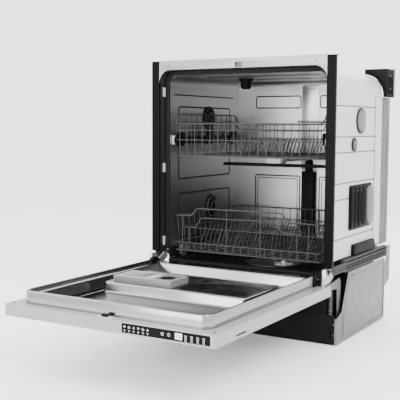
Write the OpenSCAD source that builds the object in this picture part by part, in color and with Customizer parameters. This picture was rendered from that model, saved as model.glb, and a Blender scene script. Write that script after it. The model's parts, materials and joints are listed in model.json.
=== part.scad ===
// Built-in dishwasher, 60 cm class, stored with its door open and both racks home.
// X runs across the front, Y runs from the opened door to the rear, Z is up.
// Heights are measured from the floor; front-to-rear places are measured from the front frame.

/* [Overall] */
// Width across the front trims
body_w = 598; // [560:1:760]
// Height from the floor to the top of the front frame
body_h = 815; // [720:1:980]
// Depth from the front frame to the rear edge
body_d = 515; // [470:1:640]
// Height of the base side panels
base_h = 200; // [192:1:204]

/* [Door] */
// Height of the door hinge axis
hinge_z = 174; // [168:1:178]
// Thickness of the outer door panel
panel_t = 30; // [26:1:36]
// Height of the inner door pan above the outer panel
pan_h = 32; // [28:1:34]
// Free ledge between the panel's edge and the inner pan
ledge_w = 25; // [22:1:34]
// Length of the control glass
glass_l = 230; // [160:1:250]

/* [Tub] */
// Thickness of the insulation between the tub and its jacket
felt_t = 16; // [12:1:20]
// Width of the door gasket
gasket_w = 15; // [12:1:20]
// Radius of the tub's upper corners
tub_r = 30; // [24:1:60]

/* [Racks] */
// Height of the upper rack's floor
upper_z = 528; // [480:1:560]
// Height of the lower rack's floor
lower_z = 232; // [231:1:240]
// Side of a rack wire
wire = 3.4; // [2.6:0.2:4.4]
// Pitch of the plate tines
tine_pitch = 27; // [22:1:36]
// Radius of a lower rack wheel
wheel_r = 20; // [16:1:21]

/* [Feet and spray] */
// Radius of a levelling foot's stud
stud_r = 5; // [4:0.5:6]
// Reach of the lower spray arm
arm_reach = 205; // [150:1:220]

/* [Hidden] */

half_w = body_w / 2;
trim_w = 26;
sheet = 1.2;
gap = 0.5;

// Front frame
frame_open = half_w - trim_w;
frame_top = body_h - 28;
frame_r = tub_r + 8;
frame_y0 = 1;
leg_y = 10;
collar_y = 40;
frame_z0 = 232;

// Tub
tub_y0 = collar_y + sheet;
tub_y1 = body_d - 28;
tub_w = frame_open - 11;
tub_top = frame_top - 15;
tub_z0 = 240;
jacket_w = tub_w + sheet + felt_t + 3;
jacket_top = tub_top + 12;
jacket_y0 = 55;
jacket_y1 = body_d - 75;
groove_z = [0.82, 0.655, 0.57, 0.41, 0.32, 0.11];
vent_z = tub_z0 + 0.73 * (jacket_top - tub_z0);
breather_y = [164, 350];
breather_z = [318, 446];
cover_y = [185, 378];
jacket_cap_y = [245, 192];
spray_top = [-118, 275];
wall_cap_yz = [[285, tub_z0 + 406], [305, tub_z0 + 109]];
cap_r = 38;
strap_y = [jacket_y1 + 2, body_d - 1.2];
worktop_x = half_w - 79;
slot_x = 11;
track_z = 205;
floor_z = 185;

// Base
kick_y = 50;
base_y0 = kick_y + 4;
base_y1 = body_d - 45;
tray_w = tub_w;
tray_z0 = 10;
foot_x = half_w - 25;
foot_y = [90, base_y1 - 32];
boss_top = 45;
inlet = [175, 85];
inlet_r = 13.2;
drain = [-190, 110];
drain_r = 10.5;

// Door, drawn open
hinge_y = -11;
panel_z1 = hinge_z + 9;
panel_z0 = panel_z1 - panel_t;
pan_top = panel_z1 + pan_h;
door_l = body_h - 7 - hinge_z + -hinge_y;
panel_y0 = -door_l;
panel_y1 = -3;
console_w = 46;
pan_y0 = panel_y0 + ledge_w;
pan_y1 = -4;
pan_w = frame_open - 5;
pan_r = tub_r;
recess_z = panel_z0 + 19;
notch_l = 34;
recess_w = pan_w - 26;
far_y = -60;
plateau_x = 216;
plateau_y = pan_y0 + 262;
plateau_z = pan_top - 15;
plateau_end = pan_y0 + 470;
back_y = -41;
disp = [-194, -8, pan_y0 + 276, pan_y0 + 368];
lid_z = pan_top - 1;
lid_y = disp[3] - 17.5;
decor_x = half_w - 49;
decor_dy = 400;
glass_x = [half_w - 14 - glass_l, half_w - 14];

// Racks
wheel_w = 8;
wheel_gap = 1.6;
rack_w = frame_open - gasket_w - wheel_gap - wheel_w - wire - 1;
rack_y0 = 48;
rack_y1 = tub_y1 - 22;
rack_mid = (rack_y0 + rack_y1) / 2;
upper_side_z = upper_z + 127;
upper_front_z = upper_z + 82;
lower_side_z = lower_z + 108;
lower_front_z = lower_z + 136;
rail_z = upper_z + 47;
wheel_x = rack_w + wire + 1;
wheel_z = track_z + wheel_r + 0.3;
wheel_y = [rack_y0 + 62, rack_y1 - 62];
filter_x = 42;
filter_y = rack_mid - 20;
filter_r = 30;
seam = 0.05;

// Hinge arms and their balance springs
arm_x = half_w - 18;
tail = [55, hinge_z + 41];
arm_foot = [-32, panel_z1 - 3];
arm_head = [-27, hinge_z + 54];
spring_x = arm_x - 10;
spring_z0 = 40;

// Parts that hang on the racks
upper_arm_z = upper_z - 36;
feed_z = upper_z - 13;
feed_x = 18;
shelf_z = upper_z + 104;
shelf_x = rack_w - 6;
lower_rows = [-170, -110, -50, 10, 130, 190];
upper_rows = [-150, -90, -30, 30, 90];
fold_x = 70;
tine_h = 74;
tine_y = [rack_y0 + 20, rack_y1 - 20];
tine_span = tine_y[1] - tine_y[0] - 16;
tine_step = tine_span / round(tine_span / tine_pitch);
fold_z = lower_z + wire + 1;
pivot_r = wire / 2 + 0.5;

// The whole model is centred between the door's free edge and the rear edge
y_mid = (door_l - body_d) / 2;

metal = [0.78, 0.79, 0.80];
white = [0.90, 0.90, 0.90];
dark = [0.12, 0.12, 0.13];
grey = [0.55, 0.56, 0.58];
black = [0.04, 0.04, 0.04];

// ---- Helpers ----

module place() { translate([0, y_mid, 0]) children(); }

module box(x, y, z) { translate([x[0], y[0], z[0]]) cube([x[1] - x[0], y[1] - y[0], z[1] - z[0]]); }

module both() {
    children();
    mirror([1, 0, 0]) children();
}

// A quarter turn of radius r about a centre, starting at angle a0
function corner(cx, cy, r, a0, n = 8) = [
    for (i = [0 : n])
        let (a = a0 + 90 * i / n) [cx + r * cos(a), cy + r * sin(a)]];

// A rectangle with rounded corners
function round_box(u, v, r) = concat(
    corner(u[1] - r, v[1] - r, r, 0), corner(u[0] + r, v[1] - r, r, 90),
    corner(u[0] + r, v[0] + r, r, 180), corner(u[1] - r, v[0] + r, r, 270));

// An arch in the X-Z plane, with rounded upper corners
function arch(w, top, r, z0) = concat(
    [[w, z0]], corner(w - r, top - r, r, 0), corner(-w + r, top - r, r, 90), [[-w, z0]]);

module arch_prism(w, top, r, z0, y) {
    translate([0, y[1], 0]) rotate([90, 0, 0]) linear_extrude(y[1] - y[0]) polygon(arch(w, top, r, z0));
}

// A hood: an arch with a smaller arch taken out of it
module hood(w, top, r, t, z0, y) {
    difference() {
        arch_prism(w, top, r, z0, y);
        arch_prism(w - t, top - t, r - t, z0 - 5, [y[0] - 1, y[1] + 1]);
    }
}

// A plan outline of the door pan, with rounded corners at the free edge
function pan_plan(w, y0, y1, r) = concat(
    corner(-w + r, y0 + r, r, 180), corner(w - r, y0 + r, r, 270), [[w, y1], [-w, y1]]);

module pan_prism(w, y0, y1, r, z) {
    translate([0, 0, z[0]]) linear_extrude(z[1] - z[0]) polygon(pan_plan(w, y0, y1, r));
}

module rod_y(x, z, r, y) { translate([x, y[0], z]) rotate([-90, 0, 0]) cylinder(r = r, h = y[1] - y[0]); }

module rod_x(y, z, r, x) { translate([x[0], y, z]) rotate([0, 90, 0]) cylinder(r = r, h = x[1] - x[0]); }

module rod_z(x, y, r, z) { translate([x, y, z[0]]) cylinder(r = r, h = z[1] - z[0]); }

// Evenly spaced places from a to b, about one pitch apart
function spaced(a, b, pitch) =
    let (n = max(1, round((b - a) / pitch)))
    [for (i = [0 : n]) a + (b - a) * i / n];

$fn = 48;

// ---- Base ----

module base_tray() place() color(dark) difference() {
    union() {
        box([-half_w + 7, half_w - 7], [base_y0, base_y1], [tray_z0, tray_z0 + 3]);
        difference() {
            box([-tray_w, tray_w], [base_y0, base_y1], [tray_z0 + 2, base_h - 18]);
            box([-tray_w + 3, tray_w - 3], [base_y0 + 3, base_y1 - 3], [tray_z0 + 3, base_h]);
            box([-tray_w + 3, tray_w - 3], [base_y0 - 1, base_y0 + 4], [150, base_h]);
        }
        for (x = [-foot_x, foot_x], y = foot_y) rod_z(x, y, stud_r + 6, [tray_z0 + 1, boss_top]);
    }
    for (x = [-foot_x, foot_x], y = foot_y) rod_z(x, y, stud_r + 0.3, [0, boss_top + 1]);
    rod_y(inlet[0], inlet[1], inlet_r + 2, [base_y1 - 5, base_y1 + 1]);
    rod_y(drain[0], drain[1], drain_r + 2, [base_y1 - 5, base_y1 + 1]);
}

function side_profile() = [
    [kick_y - 2, 4], [kick_y - 2, 78], [86, 92], [134, base_h],
    [base_y1 - 22, base_h], [base_y1 - 8, base_h - 12], [base_y1 - 8, 4]];

// The tab that carries the side panel back to the rear uprights
function rear_tab() = [
    [base_y1 - 9, 104], [body_d - 5, 121], [body_d - 5, base_h + 36], [base_y1 + 5, base_h + 36],
    [base_y1 + 5, base_h + 1], [base_y1 - 9, base_h - 14]];

module base_side() {
    difference() {
        translate([half_w - 3.5, 0, 0]) rotate([90, 0, 90]) linear_extrude(1.5) polygon(side_profile());
        for (y = [158, base_y1 - 40]) box([half_w - 9, half_w], [y, y + 5], [base_h - 22, base_h - 7]);
    }
    difference() {
        translate([half_w - 3.5, 0, 0]) rotate([90, 0, 90]) linear_extrude(1.5) polygon(rear_tab());
        box([half_w - 9, half_w], [base_y1 + 9, base_y1 + 13], [132, base_h - 4]);
    }
    box([half_w - 9, half_w - 3.5], [kick_y - 2, kick_y - 0.5], [4, 78]);
}

module base_sides() place() color(grey) both() base_side();

module toe_kick() place() color(dark) difference() {
    union() {
        box([-half_w + 10, half_w - 10], [kick_y, kick_y + 2], [2, 86]);
        box([-half_w + 10, half_w - 10], [kick_y + 2, base_y0], [84, 86]);
    }
    both() box([half_w - 24, half_w - 21], [kick_y - 1, kick_y + 3], [20, 70]);
}

module foot(x, y) place() color(black) {
    rod_z(x, y, 17, [0, 5]);
    translate([x, y, 5]) cylinder(r = 9, h = 4.5, $fn = 6);
    rod_z(x, y, stud_r, [5, 75]);
}

module foot_front_left() foot(-foot_x, foot_y[0]);
module foot_front_right() foot(foot_x, foot_y[0]);
module foot_rear_left() foot(-foot_x, foot_y[1]);
module foot_rear_right() foot(foot_x, foot_y[1]);

module base_rails() place() color(grey) both() {
    difference() {
        box([half_w - 15, half_w - 1], [104, body_d - 42], [base_h + 3, base_h + 38]);
        for (y = spaced(112, body_d - 62, 15))
            box([half_w - 8, half_w], [y, y + 11], [base_h + 8, base_h + 24]);
        box([half_w - 8, half_w], [112, body_d - 50], [base_h + 28, base_h + 34]);
    }
    difference() {
        box([half_w - 5.5, half_w - 1], [16, 103], [base_h + 7, base_h + 31]);
        for (y = spaced(20, 86, 16)) box([half_w - 2.2, half_w], [y, y + 12], [base_h + 11, base_h + 27]);
    }
}

// ---- Tub and shell ----

module tub_wrap() place() color(metal)
    hood(tub_w + sheet, tub_top + sheet, tub_r + sheet, sheet, tub_z0, [tub_y0, tub_y1]);

module tub_back() place() color(metal)
    arch_prism(tub_w + sheet, tub_top + sheet, tub_r + sheet, tub_z0, [tub_y1, tub_y1 + sheet]);

module tub_floor() place() color(dark) {
    difference() {
        union() {
            box([-tub_w - sheet, tub_w + sheet], [tub_y0, tub_y1 + sheet], [track_z - 2, track_z]);
            box([-rack_w + 17, rack_w - 17], [tub_y0, tub_y1 - 20], [floor_z - 2, track_z - 1]);
        }
        box([-rack_w + 19, rack_w - 19], [tub_y0 + 3, tub_y1 - 22], [floor_z, track_z + 1]);
        rod_z(0, rack_mid, 92, [floor_z - 5, floor_z + 5]);
    }
    both() box([tub_w, tub_w + sheet], [tub_y0, tub_y1 + sheet], [track_z + seam, tub_z0]);
    box([-tub_w + seam, tub_w - seam], [tub_y1, tub_y1 + sheet], [track_z + seam, tub_z0]);
}

module insulation() place() color(dark) difference() {
    arch_prism(tub_w + sheet + felt_t, tub_top + 9, tub_r + 33, tub_z0 + 2, [jacket_y0 + 5, jacket_y1 - 5]);
    arch_prism(tub_w + sheet + gap, tub_top + sheet + gap, tub_r + 2, tub_z0, [jacket_y0, jacket_y1]);
}

module tub_jacket() place() color(white) difference() {
    hood(jacket_w, jacket_top, tub_r + 35, 2.5, tub_z0 + 1, [jacket_y0, jacket_y1]);
    for (s = [-1, 1], k = groove_z)
        translate([s * jacket_w, 120, tub_z0 + k * (jacket_top - tub_z0)])
            translate([-1, 0, 0]) cube([2, jacket_y1 - 200, 3.5]);
}

module front_frame() place() color(metal) difference() {
    union() {
        difference() {
            translate([0, leg_y + sheet, 0]) rotate([90, 0, 0]) linear_extrude(sheet)
                polygon([
                    [-half_w + 2, frame_z0], [-half_w + 2, body_h],
                    [half_w - 2, body_h], [half_w - 2, frame_z0]]);
            arch_prism(frame_open, frame_top, frame_r, frame_z0 - 1, [0, 20]);
        }
        hood(frame_open + sheet, frame_top + sheet, frame_r + sheet, sheet, frame_z0, [leg_y, collar_y]);
        difference() {
            arch_prism(frame_open + sheet, frame_top + sheet, frame_r + sheet, frame_z0, [collar_y, tub_y0]);
            arch_prism(tub_w, tub_top, tub_r, frame_z0 - 1, [collar_y - 1, tub_y0 + 1]);
        }
        difference() {
            box([-half_w + 2, half_w - 2], [frame_y0, leg_y], [frame_top - frame_r, body_h]);
            box([-half_w, -frame_open], [0, 20], [0, body_h + 1]);
            box([frame_open, half_w], [0, 20], [0, body_h + 1]);
            arch_prism(frame_open, frame_top, frame_r, 0, [0, 20]);
            arch_prism(frame_open + 5, body_h - sheet, 10, frame_top + sheet, [frame_y0 + sheet, leg_y + 1]);
        }
        box([-half_w + 2, half_w - 2], [leg_y, collar_y], [body_h - sheet, body_h]);
    }
    box([-slot_x, slot_x], [0, 8], [frame_top + 2, frame_top + 17]);
    both() rod_z(worktop_x, 25, 2.3, [body_h - 5, body_h + 1]);
}

module door_gasket() place() color(black) difference() {
    arch_prism(frame_open - gap, frame_top - gap, frame_r - gap, frame_z0 + 4, [collar_y - 8, collar_y]);
    arch_prism(
        frame_open - gasket_w, frame_top - gasket_w, frame_r - gasket_w, frame_z0,
        [collar_y - 9, collar_y + 1]);
}

module sill_seal() place() color(black) {
    box([-tub_w + 4, tub_w - 4], [tub_y0 - 9, tub_y0], [track_z - 14, track_z - 0.5]);
    box([-tub_w + 4, tub_w - 4], [tub_y0 - 13, tub_y0 - 9], [track_z - 4, track_z - 0.5]);
}

module trim() difference() {
    box([frame_open, half_w], [0, leg_y], [frame_z0, body_h - 1]);
    for (x = [5, 12, 19]) box([frame_open + x, frame_open + x + 3], [-1, 2], [frame_z0 - 1, body_h]);
    box([frame_open + 3, half_w - 3], [4, leg_y + 1], [frame_z0 - 1, body_h]);
}

module side_trims() place() color(black) both() trim();

module rear_straps() place() color(grey) both() {
    difference() {
        box([jacket_w - 1, jacket_w + 1], strap_y, [tub_z0 + 2, jacket_top - 72]);
        for (k = [0.06, 0.34, 0.62], y = [18, 40])
            rod_x(strap_y[0] + y, tub_z0 + k * (jacket_top - tub_z0), 3, [jacket_w - 5, jacket_w + 5]);
    }
    box([jacket_w - 14, jacket_w + 1], [strap_y[1], body_d], [tub_z0 + 2, jacket_top - 72]);
    box([half_w - 2, half_w - 0.8], [body_d - 14, body_d], [jacket_top - 68, body_h - 10]);
}

module corner_brackets() place() color(black) both() difference() {
    box([half_w - 77, half_w - 2], [jacket_y1 + 1, body_d - 3], [jacket_top - 71, body_h - 13]);
    arch_prism(jacket_w + 2, jacket_top + 2, tub_r + 37, tub_z0, [jacket_y1, body_d - 2]);
    for (y = spaced(jacket_y1 + 7, body_d - 22, 16)) {
        box([half_w - 70, half_w - 8], [y, y + 11], [jacket_top + 6, body_h]);
        box([jacket_w + 6, half_w], [y, y + 11], [jacket_top - 62, jacket_top - 4]);
    }
}

module jacket_caps() place() color(grey) {
    rod_x(jacket_cap_y[0], vent_z, cap_r, [jacket_w, jacket_w + 4]);
    rod_x(jacket_cap_y[0], vent_z, cap_r - 7, [jacket_w + 4, jacket_w + 7]);
    rod_x(jacket_cap_y[1], rail_z - 8, 20, [jacket_w, jacket_w + 3]);
    translate([jacket_w + 3, jacket_cap_y[1], rail_z - 8])
        rotate([0, 90, 0])
            cylinder(r = 11, h = 4, $fn = 6);
}

module breather() place() color(dark) {
    box([jacket_w, jacket_w + 4], breather_y, breather_z);
    for (i = [0 : 3])
        box([jacket_w + 4, jacket_w + 12],
            [breather_y[0] + 26 * i, breather_y[0] + 26 * i + 14],
            [breather_z[0] + 4, breather_z[1] - 4]);
    translate([jacket_w + 4, 0, 0]) rotate([90, 0, 90]) linear_extrude(10)
        polygon(round_box([breather_y[1] - 67, breather_y[1] - 3], [breather_z[0] + 10, breather_z[1]], 12));
}

module cable_cover() place() color(dark)
    translate([jacket_w, 0, 0]) rotate([90, 0, 90]) linear_extrude(12)
        polygon([
            [cover_y[0], tub_z0 + 3], [cover_y[0] + 3, tub_z0 + 32],
            [cover_y[1] - 18, tub_z0 + 32], [cover_y[1], tub_z0 + 3]]);

// ---- Hinges ----

module hinge_brackets() place() color(metal) both() difference() {
    union() {
        translate([arm_x + 4, 0, 0]) rotate([90, 0, 90]) linear_extrude(3)
            polygon([
                [20, hinge_z - 9], [20, hinge_z + 9], [88, hinge_z + 16], [98, hinge_z],
                [92, 60], [74, 60], [70, hinge_z - 14]]);
        box([arm_x + 4, arm_x + 7], [hinge_y, 21], [hinge_z - 9, hinge_z + 9]);
        rod_x(hinge_y, hinge_z, 9, [arm_x + 4, arm_x + 7]);
    }
    rod_x(hinge_y, hinge_z, 4, [arm_x, arm_x + 10]);
}

module hinge_arms() place() color(metal) both() {
    difference() {
        translate([arm_x, 0, 0]) rotate([90, 0, 90]) linear_extrude(3)
            polygon([
                [-120, panel_z0 + 6], [-120, panel_z1 - 3], arm_foot, arm_head,
                [0, arm_head[1]], [8, tail[1] - 12],
                [tail[0] - 14, tail[1] + 8], [tail[0] + 8, tail[1] + 8], [tail[0] + 8, tail[1] - 8],
                [hinge_y + 12, hinge_z - 6], [hinge_y, panel_z0 + 8]]);
        rod_x(tail[0], tail[1], 2.6, [arm_x - 2, arm_x + 8]);
    }
    translate([arm_x, 0, 0]) rotate([90, 0, 90]) linear_extrude(10.5)
        polygon([arm_foot, arm_head, [arm_head[0] + 2, arm_head[1]], [arm_foot[0] + 2, arm_foot[1]]]);
    rod_x(hinge_y, hinge_z, 3.95, [arm_x + 3, arm_x + 9]);
    rod_x(tail[0], tail[1], 2.6, [arm_x - 17, arm_x + 3]);
}

module balance_springs() place() color(metal) both() {
    difference() {
        rod_z(spring_x, tail[0] + 7, 7, [spring_z0 + 12, tail[1] - 34]);
        rod_z(spring_x, tail[0] + 7, 5, [spring_z0 + 10, tail[1] - 30]);
    }
    rod_z(spring_x, tail[0] + 7, 2, [tray_z0 + 3, spring_z0 + 12]);
}

module latch_keeper() place() color(metal) {
    box([-slot_x - 3, slot_x + 3], [8.2, leg_y], [frame_top + 3, frame_top + 16]);
    both() box([slot_x, slot_x + 3], [4, leg_y], [frame_top + 3, frame_top + 16]);
}

module rail_guides() place() color(metal) both() difference() {
    box([tub_w - 8.5, tub_w], [66, rack_y1], [rail_z - 12, rail_z + 12]);
    box([tub_w - 9, tub_w - 4], [60, rack_y1 + 1], [rail_z - 9, rail_z + 9]);
}

module rear_duct() place() color(dark) {
    box([-6, 42], [tub_y1 - 18, tub_y1], [track_z, upper_z - 60]);
    rod_y(feed_x, feed_z, 9, [tub_y1 - 24, tub_y1]);
    box([feed_x - 12, feed_x + 12], [tub_y1 - 14, tub_y1], [upper_z - 61, feed_z]);
}

module ceiling_sprayer() place() color(black) {
    rod_z(spray_top[0], spray_top[1], 24, [tub_top - 8, tub_top]);
    rod_z(spray_top[0], spray_top[1], 17, [tub_top - 34, tub_top - 8]);
}

module wall_caps() place() color(black) {
    for (p = wall_cap_yz) {
        rod_x(p[0], p[1], cap_r, [-tub_w, -tub_w + 5]);
        rod_x(p[0], p[1], cap_r - 10, [-tub_w + 5, -tub_w + 9]);
    }
}

// ---- Wet machinery under the tub ----

module sump() place() color(dark) difference() {
    union() {
        rod_z(0, rack_mid, 91, [floor_z - 10, floor_z - 2]);
        rod_z(0, rack_mid, 86, [floor_z - 75, floor_z - 10]);
    }
    rod_z(0, rack_mid, 80, [floor_z - 70, floor_z]);
}

module filter_plate() place() color(metal) difference() {
    rod_z(0, rack_mid, 90, [floor_z - 2, floor_z + 1.5]);
    rod_z(filter_x, filter_y, filter_r + 0.5, [floor_z - 3, floor_z + 3]);
    rod_z(0, rack_mid, 9, [floor_z - 3, floor_z + 3]);
}

module filter_cylinder() place() color(white) {
    rod_z(filter_x, filter_y, filter_r, [floor_z - 40, floor_z + 3]);
    box([filter_x - 7, filter_x + 7], [filter_y - 2, filter_y + 2], [floor_z + 3, floor_z + 11]);
}

module circulation_pump() place() color(white) {
    rod_x(rack_mid + 20, floor_z - 85, 40, [96, 200]);
    rod_x(rack_mid + 20, floor_z - 85, 52, [90, 96]);
}

module drain_pump() place() color(white) {
    rod_y(-150, 90, 28, [rack_mid - 60, rack_mid + 10]);
    rod_y(-150, 90, 34, [rack_mid + 10, rack_mid + 26]);
    rod_y(drain[0], drain[1], drain_r, [base_y1 - 30, body_d - 8]);
}

module inlet_valve() place() color(white) {
    box([inlet[0] - 25, inlet[0] + 25], [base_y1 - 60, base_y1 - 12], [inlet[1] - 25, inlet[1] + 25]);
    rod_y(inlet[0], inlet[1], inlet_r, [base_y1 - 12, body_d - 12]);
}

// ---- Door ----

module door_outer_panel() place() color(metal) difference() {
    box([-half_w + 1, half_w - 1], [panel_y0 + console_w, panel_y1], [panel_z0, panel_z1]);
    box([-half_w + 1 + sheet, half_w - 1 - sheet],
        [panel_y0 + console_w - 1, panel_y1 - sheet],
        [panel_z0 + sheet, panel_z1 - sheet]);
    box([-pan_w + 12, pan_w - 12], [pan_y0 + 6, pan_y1 + 5], [panel_z1 - 5, panel_z1 + 1]);
    both() box([pan_w, half_w - 1 - sheet], [-notch_l, 0], [panel_z0 + sheet, panel_z1 + 1]);
    both() box([half_w - 5, half_w + 1], [panel_y0 + 92, panel_y0 + 140], [panel_z0 + 7, panel_z0 + 11]);
    for (x = [-decor_x, decor_x], y = [panel_y0 + 120, panel_y0 + 120 + decor_dy])
        rod_z(x, y, 2, [panel_z0 - 1, panel_z0 + 5]);
}

module control_console() place() color(white) difference() {
    box([-half_w + 1, half_w - 1], [panel_y0, panel_y0 + console_w], [panel_z0, panel_z1]);
    box([-half_w + 4, half_w - 4], [panel_y0 + 3, panel_y0 + console_w + 1], [panel_z0 + 2.5, panel_z1 - 2]);
    box([glass_x[0] - 0.1, glass_x[1] + 0.1],
        [panel_y0 - 1, panel_y0 + 1.5],
        [panel_z0 + 3.9, panel_z1 - 3.9]);
    box([-26, 26], [panel_y0 + 4, panel_y0 + ledge_w - 4], [panel_z1 - 5, panel_z1 + 1]);
    box([-pan_w + 12, pan_w - 12], [pan_y0 + 6, 0], [panel_z1 - 5, panel_z1 + 1]);
}

module control_glass() place() color(black)
    box(glass_x, [panel_y0, panel_y0 + 1.5], [panel_z0 + 4, panel_z1 - 4]);

module control_board() place() color([0.1, 0.35, 0.15]) {
    box([glass_x[0] + 6, glass_x[1] - 6], [panel_y0 + 5, panel_y0 + 6.6], [panel_z0 + 5, panel_z1 - 5]);
    for (x = spaced(glass_x[0] + 20, glass_x[1] - 40, 34))
        box([x, x + 8], [panel_y0 + 6.6, panel_y0 + 9], [panel_z0 + 9, panel_z0 + 17]);
}

// The pan is a pressed sheet: a solid tray with one cavity above and one below
module door_inner_pan() place() color(metal) difference() {
    union() {
        pan_prism(pan_w, pan_y0, far_y, pan_r, [panel_z1, pan_top]);
        box([-pan_w, pan_w], [far_y - 1, pan_y1], [panel_z1, track_z]);
        pan_prism(pan_w - 13, pan_y0 + 7, back_y + 2, pan_r - 12, [recess_z - sheet, panel_z1 + 1]);
    }
    pan_prism(pan_w - 8, pan_y0 + 8, far_y + 5, pan_r - 8, [track_z, pan_top + 1]);
    difference() {
        pan_prism(recess_w, pan_y0 + 9, back_y, pan_r - 10, [recess_z, track_z + 1]);
        box([-plateau_x, plateau_x], [plateau_y, plateau_end], [recess_z - 5, plateau_z]);
        far_wall();
    }
    difference() {
        pan_prism(
            pan_w - sheet, pan_y0 + sheet, far_y - sheet, pan_r - sheet,
            [panel_z1 - 1, track_z - sheet]);
        pan_prism(recess_w + sheet, pan_y0 + 9 - sheet, 0, pan_r - 9, [panel_z1 - 2, track_z]);
    }
    box([-plateau_x + sheet, plateau_x - sheet],
        [plateau_y + sheet, plateau_end - sheet],
        [recess_z - 5, plateau_z - sheet]);
    box([-pan_w + sheet, pan_w - sheet],
        [back_y + 2.5, pan_y1 - sheet],
        [panel_z1 - 1, track_z - sheet]);
    box([disp[0] + 3, disp[1] - 3], [disp[2] + 3, disp[3] - 3], [recess_z + 6, pan_top + 5]);
}

// The steep wall at the hinge end of the recess
module far_wall() translate([-pan_w, 0, 0]) rotate([90, 0, 90]) linear_extrude(2 * pan_w)
    polygon([[back_y - 9, recess_z - 1], [back_y, track_z + 2], [0, track_z + 2], [0, recess_z - 1]]);

module pan_end_caps() place() color(black) both() {
    translate([pan_w, 0, 0]) rotate([90, 0, 90]) linear_extrude(3.5) polygon(cap_outline(panel_z1 + 2));
    translate([pan_w - 8, 0, 0]) rotate([90, 0, 90]) linear_extrude(9) polygon(cap_outline(track_z));
}

function cap_outline(z) = concat(
    corner(far_y + 38, pan_top - 5, 10, 0), corner(far_y + 12, pan_top - 5, 10, 90),
    [[far_y + 2, z], [far_y + 48, z]]);

module dispenser_body() place() color(white) difference() {
    union() {
        box([disp[0], disp[1]], [disp[2], disp[3]], [plateau_z, lid_z + 3]);
        box([disp[0] + 4, disp[1] - 4], [disp[2] + 4, disp[3] - 4], [recess_z + 7, plateau_z + 1]);
    }
    box([disp[0] + 14, disp[0] + 92], [disp[2] + 16, disp[3] - 16], [lid_z - 22, lid_z + 4]);
    rod_z(disp[1] - 38, disp[2] + 46, 21.5, [lid_z - 12, lid_z + 4]);
}

module detergent_lid() place() color(white) {
    box([disp[0] + 15, disp[0] + 91], [disp[2] + 17, lid_y], [lid_z + 0.5, lid_z + 3]);
    rod_x(lid_y, lid_z + 1.8, 1.2, [disp[0] + 15, disp[0] + 91]);
}

module rinse_aid_cap() place() color(dark) {
    rod_z(disp[1] - 38, disp[2] + 46, 21, [lid_z - 8, lid_z + 2.5]);
    box([disp[1] - 56, disp[1] - 20], [disp[2] + 44, disp[2] + 48], [lid_z + 2.5, lid_z + 4]);
}

module latch_housing() place() color(white) difference() {
    box([-25, 25], [panel_y0 + 5, panel_y0 + ledge_w - 5], [panel_z1 - 18, panel_z1 + 1.5]);
    box([-9, 9], [panel_y0 + 7, panel_y0 + ledge_w - 7], [panel_z1 - 14, panel_z1 + 3]);
}

module door_screws() place() color(grey) both()
    for (y = [panel_y0 + 18, panel_y0 + 250, -90]) rod_z(half_w - 14, y, 3.6, [panel_z1, panel_z1 + 1.6]);

module latch_hook() place() color(black) {
    box([-8, 8], [panel_y0 + 8, panel_y0 + 13], [panel_z1 - 12, panel_z1 + 8]);
    box([-8, 8], [panel_y0 + 8, panel_y0 + 16], [panel_z1 + 5, panel_z1 + 8]);
}

// ---- Racks ----

// Bars lying across X, along Y and upright, each a square wire
module bar_x(x, y, z) { box([x[0], x[1]], [y - wire / 2, y + wire / 2], [z - wire / 2, z + wire / 2]); }
module bar_y(x, y, z) { box([x - wire / 2, x + wire / 2], [y[0], y[1]], [z - wire / 2, z + wire / 2]); }
module bar_z(x, y, z) { box([x - wire / 2, x + wire / 2], [y - wire / 2, y + wire / 2], [z[0], z[1]]); }

module rack_floor(w, y, z, pitch) {
    for (yy = spaced(y[0] + 12, y[1] - 12, pitch)) bar_x([-w + 6, w - 6], yy, z);
    for (xx = spaced(-w + 8, w - 8, pitch)) bar_y(xx, [y[0] + 10, y[1] - 10], z);
}

// A side wall in a Y-Z plane
module rack_side(x, y, z, rows) {
    for (k = rows) bar_y(x, y, z[0] + k * (z[1] - z[0]));
    for (yy = spaced(y[0] + 2, y[1] - 2, 48)) bar_z(x, yy, [z[0] - wire / 2, z[1] + wire / 2]);
}

// A front or back wall in an X-Z plane
module rack_front(w, y, z, rows) {
    for (k = rows) bar_x([-w, w], y, z[0] + k * (z[1] - z[0]));
    for (xx = spaced(-w + 2, w - 2, 48)) bar_z(xx, y, [z[0] - wire / 2, z[1] + wire / 2]);
}

// A comb of tines standing on one bar along Y; a shift takes them between the next row's tines
module comb(x, y, z, h, shift) {
    bar_y(x, y, z);
    for (yy = spaced(y[0] + 8 + shift, y[1] - 8 - shift, tine_pitch)) bar_z(x, yy, [z, z + h]);
}

module upper_rack() place() color(metal) {
    rack_floor(rack_w - wire, [rack_y0, rack_y1], upper_z, 44);
    both() rack_side(rack_w, [rack_y0 + wire, rack_y1 - wire], [upper_z + 4, upper_side_z], [0, 0.4, 0.8, 1]);
    rack_front(rack_w - wire, rack_y0 + wire / 2, [upper_z + 4, upper_front_z], [0, 0.6, 1]);
    rack_front(rack_w - wire, rack_y1 - wire / 2, [upper_z + 4, upper_front_z], [0, 0.6, 1]);
    for (x = upper_rows) comb(x, tine_y, upper_z + wire + seam, tine_h - 22, 0);
    both() box([rack_w + wire / 2 + seam, tub_w - 12.5],
        [rack_y0 + 10, rack_y1 - 20],
        [rail_z - 14, rail_z + 14]);
}

module cup_shelf() place() color(metal) {
    for (x = [0, 28, 56, 84]) bar_y(shelf_x - x, [rack_y0 + 30, rack_y1 - 60], shelf_z);
    for (y = spaced(rack_y0 + 32, rack_y1 - 62, 30)) bar_x([shelf_x - 84, shelf_x], y, shelf_z);
    for (y = [rack_y0 + 24, rack_y1 - 62]) rod_y(shelf_x, shelf_z, pivot_r, [y, y + 8]);
}

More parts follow.
